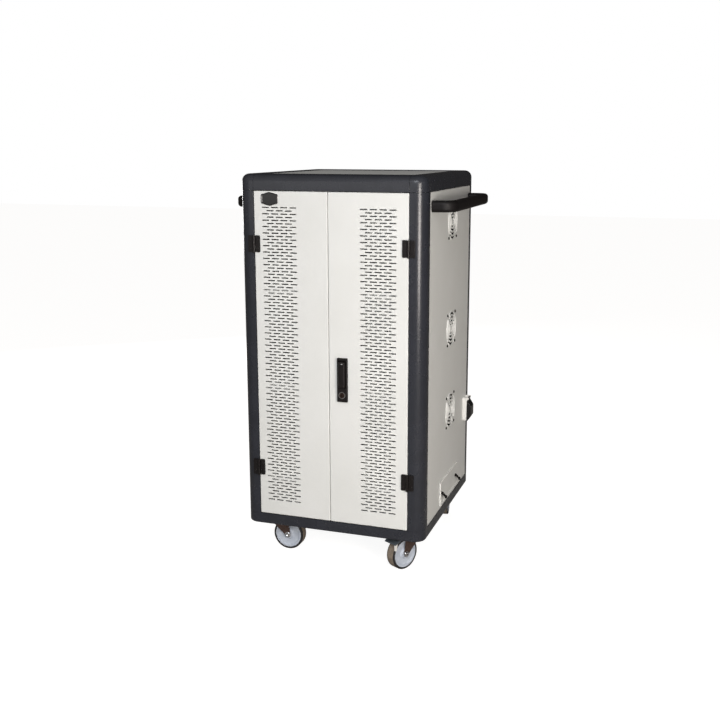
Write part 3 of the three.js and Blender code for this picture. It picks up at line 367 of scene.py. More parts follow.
def piece(name, bm, material, body, replaces=(), ease=0.0):
    """Turns a bmesh into a named piece that rides on a body, with its sharp edges eased if asked."""
    bmesh.ops.remove_doubles(bm, verts=bm.verts, dist=WELD)
    bmesh.ops.dissolve_degenerate(bm, edges=bm.edges, dist=WELD)
    bmesh.ops.recalc_face_normals(bm, faces=bm.faces)
    for face in bm.faces:
        face.smooth = True
    for edge in bm.edges:
        edge.smooth = len(edge.link_faces) == 2 and edge.calc_face_angle() < radians(SHARP_ANGLE)
    mesh = bpy.data.meshes.new(name)
    bm.to_mesh(mesh)
    bm.free()
    mesh.materials.append(material)
    made = new_object(name, mesh)
    if ease:
        bevel = made.modifiers.new("eased edges", "BEVEL")
        bevel.width = ease
        bevel.segments = EASE_STEPS
        bevel.limit_method = "ANGLE"
        bevel.angle_limit = radians(SHARP_ANGLE)
        bevel.harden_normals = True
    else:
        made.modifiers.new("flat faces stay flat", "WEIGHTED_NORMAL").keep_sharp = True
    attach(made, body)
    if replaces:
        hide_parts(*replaces)
    return made


# %% [markdown]
# ## Frame
# A real cart of this kind hides its steel edges behind moulded trim: round corner posts, a bottom surround
# with a soft lower edge, and a top surround in eight lengths that meet at fine seams. The plan is a
# rectangle with round corners, and a profile of inset and height is carried round it.

# %% Frame sizes
POST_RADIUS, POST_WALL, SEAM, BOTTOM_RAIL = mm(36, 6, 0.5, 28)
POST_STEPS = 16
(post_edge, half_width), (front_y, _), _ = ranges(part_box("post_front_right"))
rear_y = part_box("post_rear_right")[1].y
rail_bottom, top = ranges(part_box("top_rail_front"))[2]
base_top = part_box("base_frame")[1].z
base_bottom = base_top - BOTTOM_RAIL
post_face = half_width - post_edge
middle_y = (front_y + rear_y) / 2
half_depth = (rear_y - front_y) / 2


def corner_stations(side_x, side_y, trim):
    """Stations round one corner, from the front or rear seam to the side seam: point, normal, diagonal."""
    centre = Vector((side_x * (half_width - POST_RADIUS), middle_y + side_y * (half_depth - POST_RADIUS)))
    diagonal = Vector((side_x, side_y))
    end_normal, side_normal = Vector((0, side_y)), Vector((side_x, 0))
    start = Vector((side_x * (half_width - post_face + trim), middle_y + side_y * half_depth))
    finish = Vector((side_x * half_width, middle_y + side_y * (half_depth - post_face + trim)))
    stations = [(start, end_normal, end_normal)]
    for u, v in arc((0, 0), 1, 90, 0, POST_STEPS):
        normal = Vector((side_x * u, side_y * v))
        stations.append((centre + normal * POST_RADIUS, normal, diagonal))
    return stations + [(finish, side_normal, side_normal)]


def straight_stations(ends, normal):
    """The two end stations of a straight rail."""
    return [(Vector(end), Vector(normal), Vector(normal)) for end in ends]


def at_inset(station, inset):
    """The point that lies some inset within the outer line of the plan."""
    point, normal, diagonal = station
    straight = min(inset, POST_RADIUS)
    return point - normal * straight - diagonal * (inset - straight)


def carry(stations, profile):
    """The loops of a profile of insets and heights at each station."""
    return [[(*at_inset(station, inset), z) for inset, z in profile] for station in stations]


# %% Posts
SIDES = {"left": -1, "right": 1}
ENDS = {"front": -1, "rear": 1}
for end, side_y in ENDS.items():
    for hand, side_x in SIDES.items():
        node = f"post_{end}_{hand}"
        z = ranges(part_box(node))[2]
        section = [(0, z[0]), (0, z[1]), (POST_WALL, z[1]), (POST_WALL, z[0])]
        bm = loft(bmesh.new(), carry(corner_stations(side_x, side_y, 0), section))
        piece(f"corner_post_{end}_{hand}", bm, frame_coat, "cabinet", [node], ease=EASE)
show("posts:", (0, post_face), "wide")

# %% Top surround
TOP_EDGE_RADIUS, TOP_SHELL, TRIM_EASE = mm(22, 12, 0.4)
crown = [(TOP_EDGE_RADIUS - u, v) for u, v in arc((0, top - TOP_EDGE_RADIUS), TOP_EDGE_RADIUS, 0, 90)]
top_profile = [
    (0, rail_bottom + SEAM), *crown, (post_face, top), (post_face, top - TOP_SHELL),
    (POST_WALL, top - TOP_SHELL), (POST_WALL, rail_bottom + SEAM),
]


def top_length(name, stations, node):
    """One length of the top surround."""
    bm = loft(bmesh.new(), carry(stations, top_profile))
    piece(name, bm, frame_coat, "cabinet", [node], ease=TRIM_EASE)


opening_x = half_width - post_face
opening_y = half_depth - post_face
for end, side_y in ENDS.items():
    for hand, side_x in SIDES.items():
        stations = corner_stations(side_x, side_y, SEAM / 2)
        top_length(f"top_moulding_{end}_{hand}", stations, f"top_corner_{end}_{hand}")
    y = middle_y + side_y * half_depth
    seams = [(-opening_x + SEAM, y), (opening_x - SEAM, y)]
    top_length(f"top_trim_{end}", straight_stations(seams, (0, side_y)), f"top_rail_{end}")
for hand, side_x in SIDES.items():
    x = side_x * half_width
    seams = [(x, middle_y - opening_y + SEAM), (x, middle_y + opening_y - SEAM)]
    top_length(f"top_trim_{hand}", straight_stations(seams, (side_x, 0)), f"top_rail_{hand}")
show("top surround:", (rail_bottom, top), "tall")

# %% Bottom surround
BOTTOM_EDGE_RADIUS, SKIRT_DROP, BASE_FLOOR, FLOOR_INSET = mm(5, 6, 4, 40)
skirt_bottom = base_bottom - SKIRT_DROP
heel = arc((0, skirt_bottom + BOTTOM_EDGE_RADIUS), BOTTOM_EDGE_RADIUS, 0, -90)
base_profile = [
    (0, base_top), *[(BOTTOM_EDGE_RADIUS - u, v) for u, v in heel], (POST_WALL, skirt_bottom),
    (POST_WALL, base_bottom), (FLOOR_INSET, base_bottom), (FLOOR_INSET, base_bottom + BASE_FLOOR),
    (POST_WALL, base_bottom + BASE_FLOOR), (POST_WALL, base_top),
]
around_plan = corner_stations(1, -1, 0) + corner_stations(1, 1, 0)[::-1]
around_plan += corner_stations(-1, 1, 0) + corner_stations(-1, -1, 0)[::-1]
bm = loft(bmesh.new(), carry(around_plan, base_profile), closed=True)
floor_x = span(0, 2 * (half_width - FLOOR_INSET))
floor_y = span(middle_y, 2 * (half_depth - FLOOR_INSET))
prism(bm, "z", rounded(floor_x, floor_y, BROAD_CORNER), (base_bottom, base_bottom + BASE_FLOOR))
piece("bottom_surround", bm, frame_coat, "cabinet", ["base_frame"])
show("bottom surround:", (base_bottom, base_top), "tall")

# %% [markdown]
# ## Folded sheet
# Doors and panels are sheet steel: the slots are punched while the sheet is flat, then the four edges are
# folded back on a press brake. In Blender a filled 2D curve does the punching, because it can fill an
# outline with hundreds of holes at once. The fold is a loft that is welded to the edge of the flat face.

# %% Sheet helpers
FOLD_RADIUS, SHEET = mm(2.5, 1.5)
FOLD_STEPS = 5


def punched(bm, outline, holes, place):
    """A flat sheet with holes through it, put in place by a function of across, up and depth."""
    curve = bpy.data.curves.new("punched", "CURVE")
    curve.dimensions = "2D"
    curve.fill_mode = "BOTH"
    curve.extrude = SHEET / 2
    for loop in (outline, *holes):
        spline = curve.splines.new("POLY")
        spline.points.add(len(loop) - 1)
        for point, (u, v) in zip(spline.points, loop):
            point.co = (u, v, 0, 1)
        spline.use_cyclic_u = True
    holder = new_object("punched", curve)
    mesh = bpy.data.meshes.new_from_object(holder.evaluated_get(bpy.context.evaluated_depsgraph_get()))
    bpy.data.objects.remove(holder)
    sheet = bmesh.new()
    sheet.from_mesh(mesh)
    bpy.data.meshes.remove(mesh)
    bmesh.ops.remove_doubles(sheet, verts=sheet.verts, dist=WELD)
    limits = [(min(values), max(values)) for values in zip(*outline)]
    walls = [face for face in sheet.faces if any(
        all(abs(vert.co[axis] - edge) < WELD for vert in face.verts)
        for axis, edges in enumerate(limits) for edge in edges
    )]
    bmesh.ops.delete(sheet, geom=walls, context="FACES")
    made = {vert: bm.verts.new(place(vert.co.x, vert.co.y, SHEET / 2 - vert.co.z)) for vert in sheet.verts}
    for face in sheet.faces:
        corners = [made[vert] for vert in face.verts]
        if not bm.faces.get(corners):
            bm.faces.new(corners)
    sheet.free()


def folded_sheet(u, v, depth, holes, place):
    """A punched face whose four edges are folded back to a depth."""
    bm = bmesh.new()
    (u0, u1), (v0, v1) = flat_u, flat_v = shrunk(u, FOLD_RADIUS), shrunk(v, FOLD_RADIUS)
    punched(bm, [(u0, v0), (u1, v0), (u1, v1), (u0, v1)], holes, place)
    bends = arc((0, 0), FOLD_RADIUS, 90, 0, FOLD_STEPS), arc((0, 0), FOLD_RADIUS - SHEET, 0, 90, FOLD_STEPS)
    outer, inner = ([(FOLD_RADIUS - a, FOLD_RADIUS - b) for a, b in bend] for bend in bends)
    loops = []
    for inset, back in [*outer, (0, depth), (SHEET, depth), *inner]:
        reach = FOLD_RADIUS - inset
        if reach > WELD:
            edge = rounded(shrunk(flat_u, -reach), shrunk(flat_v, -reach), reach, FOLD_STEPS)
        else:
            corners = ((u1, v1), (u0, v1), (u0, v0), (u1, v0))
            edge = [corner for corner in corners for _ in range(FOLD_STEPS + 1)]
        loops.append([place(a, b, back) for a, b in edge])
    return loft(bm, loops, caps=False)


# %% [markdown]
# ## Doors
# Each door is one folded tray with 97 rows of vent slots, four and three to a row by turns, so that the
# rows interlock like brickwork. The right door also has a window that the lock's case covers.

# %% Doors
SLOT_LENGTH, SLOT_HEIGHT, SLOT_PITCH, ROW_PITCH = mm(22.5, 3.6, 29.2, 9.42)
ROWS = 97
LONG_ROW = 4
COLUMN_FROM_LEFT_EDGE, COLUMN_FROM_RIGHT_EDGE, WINDOW_MARGIN = mm(81, 90.5, 3)
HOLE_STEPS = 3
left_x, (door_front, door_back), door_z = ranges(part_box("left_door"))
right_x = ranges(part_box("right_door"))[0]
case_x, (case_face, _), case_z = ranges(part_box("lock_case"))


def slot_rows(column_x, middle_z):
    """The slots of one door."""
    slots = []
    for row in range(ROWS):
        count = LONG_ROW - row % 2
        z = middle_z + (row - (ROWS - 1) / 2) * ROW_PITCH
        for i in range(count):
            x = column_x + (i - (count - 1) / 2) * SLOT_PITCH
            slots.append(stadium(x, z, SLOT_LENGTH, SLOT_HEIGHT))
    return slots


def on_front(u, v, w):
    """A place on the door face: across, up and back from it."""
    return Vector((u, door_front + w, v))


window_x, window_z = shrunk(case_x, WINDOW_MARGIN), shrunk(case_z, 2 * WINDOW_MARGIN)
columns = {"left": left_x[0] + COLUMN_FROM_LEFT_EDGE, "right": right_x[1] - COLUMN_FROM_RIGHT_EDGE}
for hand, door_x in (("left", left_x), ("right", right_x)):
    holes = slot_rows(columns[hand], sum(door_z) / 2)
    if hand == "right":
        holes.append(rounded(window_x, window_z, FINE_CORNER, HOLE_STEPS))
    bm = folded_sheet(door_x, door_z, door_back - door_front, holes, on_front)
    piece(f"slotted_door_{hand}", bm, white_coat, f"{hand}_door", [f"{hand}_door"])
print("slots in each door:", len(slot_rows(0, 0)))

# %% [markdown]
# ## Side, rear and top panels
# The side panels are plain folded trays that sit a millimetre behind the posts. The right one is punched
# with three round fan grilles: rings of arc slots that an X of plain bars divides into four.

# %% Grille slots
GRILLE_RINGS = 4
GRILLE_FIRST, GRILLE_PITCH, GRILLE_SLOT, GRILLE_BAR = mm(11, 11.6, 7, 3)
QUARTERS = (0, 90, 180, 270)


def half_sector(bar, radius):
    """Half the angle of a quarter at some radius, less half a bar."""
    return 45 - degrees(asin(bar / 2 / radius))


def grille(centre):
    """The arc slots of one fan: rings in four sectors."""
    slots = []
    for ring in range(GRILLE_RINGS):
        inner = GRILLE_FIRST + ring * GRILLE_PITCH
        outer = inner + GRILLE_SLOT
        wide, tight = half_sector(GRILLE_BAR, outer), half_sector(GRILLE_BAR, inner)
        for turn in QUARTERS:
            far = arc(centre, outer, turn - wide, turn + wide)
            slots.append(far + arc(centre, inner, turn + tight, turn - tight))
    return slots


fan_centres = []
for level in ("lower", "middle", "upper"):
    fan_low, fan_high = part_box(f"fan_frame_{level}")
    fan_centres.append(((fan_low + fan_high) / 2).yz)
print("fans:", len(fan_centres))

# %% Panels
LAP = 8 * MM
(_, inlet_front), inlet_y, (inlet_bottom, inlet_top) = ranges(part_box("inlet_housing"))
(hatch_back, _), hatch_y, hatch_z = ranges(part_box("access_hatch"))
(panel_back, panel_x), panel_y, panel_z = ranges(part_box("right_side_panel"))
rear_x, (rear_inner, rear_outer), _ = ranges(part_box("rear_panel"))
panel_depth = panel_x - panel_back
socket_z = (inlet_bottom + LAP, inlet_top - 2 * LAP)
holes = [slot for centre in fan_centres for slot in grille(centre)]
holes.append(rounded(shrunk(hatch_y, LAP), shrunk(hatch_z, LAP), SMALL_CORNER, HOLE_STEPS))
holes.append(rounded(shrunk(inlet_y, LAP / 2), socket_z, SMALL_CORNER, HOLE_STEPS))

# Places on a panel: along it, up and inward.
ON = {
    "right": lambda u, v, w: Vector((panel_x - w, u, v)),
    "left": lambda u, v, w: Vector((w - panel_x, u, v)),
    "rear": lambda u, v, w: Vector((u, rear_outer - w, v)),
}
bm = folded_sheet(panel_y, panel_z, panel_depth, holes, ON["right"])
piece("fan_side_panel", bm, white_coat, "cabinet", ["right_side_panel"])
bm = folded_sheet(panel_y, panel_z, panel_depth, [], ON["left"])
piece("plain_side_panel", bm, white_coat, "cabinet", ["left_side_panel"])
bm = folded_sheet(rear_x, panel_z, rear_outer - rear_inner, [], ON["rear"])
piece("back_panel", bm, white_coat, "cabinet", ["rear_panel"])
print("holes in the right panel:", len(holes))

# %% Top sheet
SHEET_EDGE = 0.8 * MM
sheet_x, sheet_y, (under, over) = ranges(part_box("top_panel"))
levels = chamfered(under, over, SHEET_EDGE)
bm = stacked(bmesh.new(), "z", plate(sheet_x, sheet_y, CORNER), levels)
piece("top_sheet", bm, white_coat, "cabinet", ["top_panel"])
show("top sheet:", sheet_x, "wide")

# %% [markdown]
# ## Raised grilles and their screws
# Punched arcs leave a lip on the outside of the sheet. Seen from the front those lips catch the light, so
# each grille reads as a bright disc with dark gaps. A lip is a half-round bead that is carried along an arc
# and stops short of the X, which stays flat. Screw heads come from one function: a low dome whose top steps
# down into a hexagon socket.

# %% Grille lips
LIP_WIDTH = GRILLE_PITCH - GRILLE_SLOT
LIP_HEIGHT, LIP_PARTING = mm(3, 13)
LIP_STEPS = 14
LIP_SIDES = 6
bead_turns = [pi * k / LIP_SIDES for k in range(LIP_SIDES + 1)]
bead = [(cos(a) * LIP_WIDTH / 2, sin(a) * LIP_HEIGHT) for a in bead_turns]


def lip(bm, centre, radius, turn):
    """One half-round bead on the right panel, along the arc of a sector."""
    reach = half_sector(LIP_PARTING, radius)
    loops = []
    for k in range(LIP_STEPS + 1):
        angle = radians(turn - reach + 2 * reach * k / LIP_STEPS)
        out = Vector((cos(angle), sin(angle)))
        spots = [centre + out * (radius + across) for across, _ in bead]
        loops.append([ON["right"](*spot, -height) for spot, (_, height) in zip(spots, bead)])
    loft(bm, loops)


bm = bmesh.new()
for centre in fan_centres:
    for ring in range(GRILLE_RINGS + 1):
        for turn in QUARTERS:
            lip(bm, centre, GRILLE_FIRST - LIP_WIDTH / 2 + ring * GRILLE_PITCH, turn)
piece("grille_lips", bm, white_coat, "cabinet")
print("grille lips:", (GRILLE_RINGS + 1) * len(QUARTERS) * len(fan_centres))

# %% Screws
HEAD_SHARE = 0.8
SOCKET_SHARE = 0.45
RIM_LEVEL = 0.5
SOCKET_LEVEL = 0.3


def screw(bm, axis, centre, face, proud, radius):
    """A screw head on a face. A negative proud points it down the axis."""
    turns = [radians(360 / SMALL_SIDES * k) for k in range(SMALL_SIDES)]
    sizes = [radius * SOCKET_SHARE / cos((a + pi / 6) % (pi / 3) - pi / 6) for a in turns]
    socket = [(centre[0] + s * cos(a), centre[1] + s * sin(a)) for s, a in zip(sizes, turns)]
    rim, dome = (circle(centre, size, SMALL_SIDES) for size in (radius, radius * HEAD_SHARE))
    layers = [(rim, 0), (rim, RIM_LEVEL), (dome, 1), (socket, 1), (socket, SOCKET_LEVEL)]
    return raised(bm, axis, [(outline, face + proud * level) for outline, level in layers])


def four_spots(centre, offset):
    """The corners of a square about a centre."""
    return [(centre[0] + a * offset, centre[1] + b * offset) for a in (-1, 1) for b in (-1, 1)]


FAN_SCREW_OFFSET, FAN_SCREW_RADIUS, FAN_SCREW_PROUD = mm(48, 4.5, 2.4)
bm = bmesh.new()
for centre in fan_centres:
    for spot in four_spots(centre, FAN_SCREW_OFFSET):
        screw(bm, "x", spot, panel_x, FAN_SCREW_PROUD, FAN_SCREW_RADIUS)
piece("fan_screws", bm, black_zinc, "cabinet")
print("fan screws:", 4 * len(fan_centres))

# %% [markdown]
# ## Hinges
# Each surface hinge has two cast leaves with round corners. The frame leaf carries the lower knuckle and
# the pin, and the door leaf carries the upper knuckle, so the two leaves ride on different bodies. The
# hinge axis comes from the joint in the frame, which keeps the knuckles true when the door swings.

# %% Hinges
KNUCKLE, NECK_CORNER, PIN_RADIUS = mm(4.6, 0.2, 2.4)
LEAF_THICK, LEAF_EDGE, LEAF_CLEAR, LEAF_SCREW_RADIUS, LEAF_SCREW_PROUD = mm(4, 0.9, 0.3, 3, 1)
PIN_SIDES = 16
joints = {joint["name"]: Vector(joint["pos_m"]) for joint in frame["joints"]}


def hinge_leaf(node, axis, away, whole_z, own_z):
    """A leaf plate with two screws, its knuckle, and the neck between them."""
    across, (_, back), _ = ranges(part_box(node))
    outer = across[away > 0]
    near = axis.x + away * (KNUCKLE + LEAF_CLEAR)
    across = sorted((outer, near))
    face = back - LEAF_THICK
    levels = [(0, back), (0, face + LEAF_EDGE), (LEAF_EDGE / 3, face + LEAF_EDGE / 3), (LEAF_EDGE, face)]
    bm = stacked(bmesh.new(), "y", plate(across, whole_z, CORNER), levels)
    for z in shrunk(whole_z, (whole_z[1] - whole_z[0]) / 4):
        screw(bm, "y", (sum(across) / 2, z), face, -LEAF_SCREW_PROUD, LEAF_SCREW_RADIUS)
    neck = shrunk(sorted((axis.x, near)), -LEAF_EDGE)
    stacked(bm, "y", plate(neck, own_z, NECK_CORNER), levels[:2])
    soft_z = shrunk(own_z, LEAF_EDGE / 2)
    worn = KNUCKLE - LEAF_EDGE / 2
    knuckle = [(worn, own_z[0]), (KNUCKLE, soft_z[0]), (KNUCKLE, soft_z[1]), (worn, own_z[1])]
    return turned(bm, "z", axis, knuckle, SMALL_SIDES)


for hand, side in SIDES.items():
    axis = joints[f"{hand}_door_hinge"]
    for level in ("lower", "upper"):
        frame_node, door_node = f"hinge_frame_leaf_{hand}_{level}", f"hinge_door_leaf_{hand}_{level}"
        whole_z = ranges(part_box(door_node))[2]
        middle = sum(whole_z) / 2
        bm = hinge_leaf(frame_node, axis, side, whole_z, (whole_z[0], middle - LEAF_CLEAR / 2))
        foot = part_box(frame_node)[0].z
        pin = [(PIN_RADIUS * HEAD_SHARE, foot), (PIN_RADIUS, foot + LEAF_EDGE)]
        pin.append((PIN_RADIUS, whole_z[0] + LEAF_EDGE))
        turned(bm, "z", axis, pin, PIN_SIDES)
        piece(f"frame_leaf_{hand}_{level}", bm, black_zinc, "cabinet", [frame_node])
        bm = hinge_leaf(door_node, axis, -side, whole_z, (middle + LEAF_CLEAR / 2, whole_z[1]))
        piece(f"door_leaf_{hand}_{level}", bm, black_zinc, f"{hand}_door", [door_node])
print("hinges:", 2 * len(SIDES))

# %% [markdown]
# ## Badge and lock
# The badge is left blank: a glossy plate with a raised rim. The lock is a cast case with a deep recess for
# a folding pull lever, which carries a bright rivet. Below it a nickel key barrel, whose dark brown colour is
# a painted reflection, turns in a chrome collar. The lever and the barrel ride on their own bodies.

# %% Badge
BADGE_SHOULDER, BADGE_RIM, BADGE_CORNER = mm(13, 2.2, 3.5)
badge_low, badge_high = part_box("badge_plate")
badge_middle = (badge_low + badge_high) / 2
badge_half = (badge_high - badge_low) / 2


def badge_outline(inset):
    """The badge's six-sided outline at some inset."""
    share = 1 - inset / badge_half.z
    w, h, s = badge_half.x * share, badge_half.z * share, BADGE_SHOULDER * share
    corners = [(w, s), (0, h), (-w, s), (-w, -s), (0, -h), (w, -s)]
    placed = [(u + badge_middle.x, v + badge_middle.z) for u, v in corners]
    return filleted(placed, BADGE_CORNER * share)


rim = BADGE_RIM / 3
levels = [(0, badge_high.y), (0, badge_low.y + rim), (rim, badge_low.y), (BADGE_RIM, badge_low.y)]
levels += [(BADGE_RIM + rim, badge_low.y + rim), (BADGE_RIM + 2 * rim, badge_low.y + rim)]
bm = stacked(bmesh.new(), "y", badge_outline, levels)
piece("blank_badge", bm, black_gloss, "left_door", ["badge_plate"])
show("badge:", (badge_low.x, badge_high.x), "wide")

# %% Lock case
CASE_CORNER, CASE_EDGE, BODY_DEPTH, LEVER_PIN_REACH = mm(1.8, 1.2, 12, 2)
RECESS_GAP, RECESS_HEAD, RECESS_DEPTH, RECESS_CORNER = mm(1.5, 3.5, 9.5, 1.5)
lever_x, (lever_face, lever_back), lever_z = ranges(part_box("pull_lever"))
lever_x = shrunk(lever_x, LEVER_PIN_REACH)
case = plate(case_x, case_z, CASE_CORNER)
recess_z = (lever_z[0] - RECESS_GAP, lever_z[1] + RECESS_HEAD)
recess = plate(shrunk(lever_x, -RECESS_GAP), recess_z, RECESS_CORNER)(0)
layers = [(case(0), door_front), (case(0), case_face + CASE_EDGE)]
layers += [(case(CASE_EDGE / 3), case_face + CASE_EDGE / 3), (case(CASE_EDGE), case_face)]
layers += [(recess, case_face), (recess, case_face + RECESS_DEPTH)]
bm = raised(bmesh.new(), "y", layers)
body = plate(window_x, window_z, FINE_CORNER)
stacked(bm, "y", body, [(0, case_face + RECESS_DEPTH), (0, door_front + BODY_DEPTH)])
piece("lock_housing", bm, black_zinc, "right_door", ["lock_case"])
show("lock:", case_z, "tall")

# %% Pull lever
# The crown is written as inset and depth from the front, in mm.
LEVER_CROWN = [(0, 5), (0.8, 2), (2.2, 0.6), (5, 0)]
RIVET_RADIUS, RIVET_PROUD, RIVET_BELOW_TOP = mm(2.4, 0.8, 6)
levels = [(0, lever_back), *moved(LEVER_CROWN, 0, lever_face)]
bm = stacked(bmesh.new(), "y", plate(lever_x, lever_z, BROAD_CORNER), levels)
piece("lever_paddle", bm, black_zinc, "pull_lever", ["pull_lever"])
spot = (sum(lever_x) / 2 + RIVET_RADIUS, lever_z[1] - RIVET_BELOW_TOP)
bm = screw(bmesh.new(), "y", spot, lever_face, -RIVET_PROUD, RIVET_RADIUS)
piece("lever_rivet", bm, chrome, "pull_lever")
show("lever:", lever_z, "long")

# %% Key barrel and collar
# The collar is written as radius and depth from the face of the case, in mm.
KEYWAY_LENGTH, KEYWAY_WIDTH, KEYWAY_DEPTH, BARREL_EDGE = mm(9, 2, 4, 0.8)
BARREL_FACE_SHARE = 0.9
COLLAR = [(11, 1.6), (10, -1.6), (8.8, -1.6), (8.8, 1.6)]
barrel_low, barrel_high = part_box("key_barrel")
barrel_centre = ((barrel_low + barrel_high) / 2).xz
barrel_radius = (barrel_high.x - barrel_low.x) / 2
barrel_face = barrel_low.y
wall = circle(barrel_centre, barrel_radius, SMALL_SIDES)
end_face = circle(barrel_centre, BARREL_FACE_SHARE * barrel_radius, SMALL_SIDES)
flat_keyway = stadium(0, 0, KEYWAY_LENGTH, KEYWAY_WIDTH, SMALL_SIDES // 2 - 1)
keyway = [barrel_centre + Vector((-v, u)) for u, v in flat_keyway]
layers = [(wall, barrel_high.y), (wall, barrel_face + BARREL_EDGE), (end_face, barrel_face)]
layers += [(keyway, barrel_face), (keyway, barrel_face + KEYWAY_DEPTH)]
# The barrel's dark brown colour is a painted reflection, not the colour of the metal.
piece("nickel_barrel", raised(bmesh.new(), "y", layers), nickel_painted_brown_reflection, "key_and_cam", ["key_barrel"])

bm = turned(bmesh.new(), "y", barrel_centre, moved(COLLAR, 0, case_face), closed=True)
piece("lock_collar", bm, chrome, "right_door")
show("key barrel:", (barrel_low.x, barrel_high.x), "across")

# %% [markdown]
# ## Push handles
# A handle is a bar with a round-cornered section, bent twice. The path runs out from the panel, along the
# cart and back again. At each point of the path the section stands square to it, which is what a bending
# machine does to a real tube.

# %% Push handles
HANDLE_THICK, HANDLE_CORNER, HANDLE_BEND = mm(24, 11, 30)
BEND_STEPS = 12
SECTION_STEPS = 6


def handle(node, side):
    """A bent bar between two places on a side panel."""
    x, y, z_range = ranges(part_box(node))
    near, far = sorted(abs(edge) for edge in x)
    root, grip = side * near, side * (far - HANDLE_THICK / 2)
    y = shrunk(y, HANDLE_THICK / 2)
    bend_x = grip - side * HANDLE_BEND
    path = [(Vector((root, y[0])), Vector((0, -1)))]
    for bend_y, start in ((y[0] + HANDLE_BEND, -90), (y[1] - HANDLE_BEND, 0)):
        for u, v in arc((0, 0), 1, start, start + 90, BEND_STEPS):
            out = Vector((side * u, v))
            path.append((Vector((bend_x, bend_y)) + out * HANDLE_BEND, out))
    path.append((Vector((root, y[1])), Vector((0, 1))))
    section = rounded(span(0, HANDLE_THICK), z_range, HANDLE_CORNER, SECTION_STEPS)
    loops = [[(*(point + out * across), z) for across, z in section] for point, out in path]
    return loft(bmesh.new(), loops)


for hand, side in SIDES.items():
    bm = handle(f"{hand}_handle", side)
    piece(f"push_handle_{hand}", bm, black_plastic, "cabinet", [f"{hand}_handle"])
print("handles:", len(SIDES))

# %% [markdown]
# ## Casters
# A caster is drawn in its own axes, with the swivel at the origin and the wheel trailing along +X, and is
# then turned to the heading that the frame's joints give. Plate and upper race belong to the cabinet, the
# fork swivels and the wheel spins in the fork. The brake pedal rocks on a pin above the wheel; its arm
# widens into a ribbed tread, with a small white release tab below.

# %% Caster helpers
TRAIL = 40 * MM
WHEEL_RADIUS, WHEEL_HALF = mm(50, 16)
hub = (TRAIL, WHEEL_RADIUS)
crown_top = joints["caster_swivel_front_left"].z
PLACES = [f"{end}_{hand}" for end in ENDS for hand in SIDES]


def caster_piece(name, bm, material, body, place, replaces=(), ease=0.0):
    """A piece drawn in a caster's own axes, turned to that caster's place and heading on the cart."""
    swivel, centre = joints[f"caster_swivel_{place}"], joints[f"wheel_spin_{place}"]
    heading = atan2(centre.y - swivel.y, centre.x - swivel.x)
    turn = Matrix.Translation((swivel.x, swivel.y, 0)) @ Matrix.Rotation(heading, 4, "Z")
    bmesh.ops.transform(bm, matrix=turn, verts=bm.verts)
    return piece(name, bm, material, body, replaces, ease)


# %% Caster plates and forks
PLATE_SIZE, PLATE_THICK, PLATE_CORNER = mm(88, 4, 10)
BOLT_OFFSET, BOLT_RADIUS, BOLT_PROUD = mm(32, 6, 4)
RACE_RADIUS, RACE_EDGE, RACE_CLEAR = mm(24, 2, 0.3)
CROWN_HALF, CROWN_THICK = mm(20, 5)
LEG_INNER, LEG_OUTER, LEG_EASE = mm(17.5, 20.5, 0.8)
LEG_FRONT = [(-20, 0), (-20, -16)]
LEG_REAR = [(40, -9), (40, 0)]
AXLE_EYE, AXLE_RADIUS, AXLE_HEAD, AXLE_HEAD_PROUD = mm(9, 4.5, 7, 3)
EYE_FROM, EYE_TO, EYE_STEPS = 205, 345, 8
WASHER, WASHER_BORE = mm(1, 5)
race_top = crown_top - RACE_CLEAR
plate_low = base_bottom - PLATE_THICK
eye = arc(hub, AXLE_EYE, EYE_FROM, EYE_TO, EYE_STEPS)
leg = moved(LEG_FRONT, 0, crown_top) + eye + moved(LEG_REAR, 0, crown_top)
crown_plan = plate((-CROWN_HALF, CROWN_HALF), (-LEG_INNER, LEG_INNER), FINE_CORNER)
race = [(RACE_RADIUS, base_bottom), (RACE_RADIUS, race_top + RACE_EDGE), (RACE_RADIUS - RACE_EDGE, race_top)]
for place in PLACES:
    swivel = joints[f"caster_swivel_{place}"]
    square = plate(span(swivel[0], PLATE_SIZE), span(swivel[1], PLATE_SIZE), PLATE_CORNER)
    bm = stacked(bmesh.new(), "z", square, [(0, base_bottom), (0, plate_low)])
    for spot in four_spots(swivel, BOLT_OFFSET):
        screw(bm, "z", spot, plate_low, -BOLT_PROUD, BOLT_RADIUS)
    turned(bm, "z", swivel, race)
    piece(f"caster_plate_{place}", bm, fork_zinc, "cabinet")

    body = f"caster_{place}"
    fork, axle = bmesh.new(), bmesh.new()
    for side in (-1, 1):
        prism(fork, "y", leg, (side * LEG_INNER, side * LEG_OUTER))
        face = side * (LEG_OUTER + WASHER)
        washer = [(AXLE_EYE, side * LEG_OUTER), (AXLE_EYE, face), (WASHER_BORE, face)]
        turned(axle, "y", hub, washer, SMALL_SIDES)
        screw(axle, "y", hub, face, side * AXLE_HEAD_PROUD, AXLE_HEAD)
    stacked(fork, "z", crown_plan, [(0, crown_top - CROWN_THICK), (0, crown_top)])
    turned(axle, "y", hub, [(AXLE_RADIUS, -LEG_OUTER), (AXLE_RADIUS, LEG_OUTER)], SMALL_SIDES)
    caster_piece(f"fork_{place}", fork, fork_zinc, body, place, [f"caster_fork_{place}"], ease=LEG_EASE)
    caster_piece(f"axle_bolt_{place}", axle, chrome, body, place)
print("forks:", len(PLACES))

# %% Wheels
# Half profiles are written as radius and place from the wheel's face, in mm.
TREAD = [(46, -3.5), (49.4, -3.5), (50, -5.5)]
DISC = [(5.2, 0), (14, 0), (15, -1), (18, -4), (33, -4), (36, -2), (37, -3), (38, -1.2), (43.1, -1)]
BEAD_SEAT = [(43, -0.6), (43, -3.5)]
SHOULDER = 3.5 * MM
SHOULDER_STEPS = 6
WHEEL_SIDES = 72


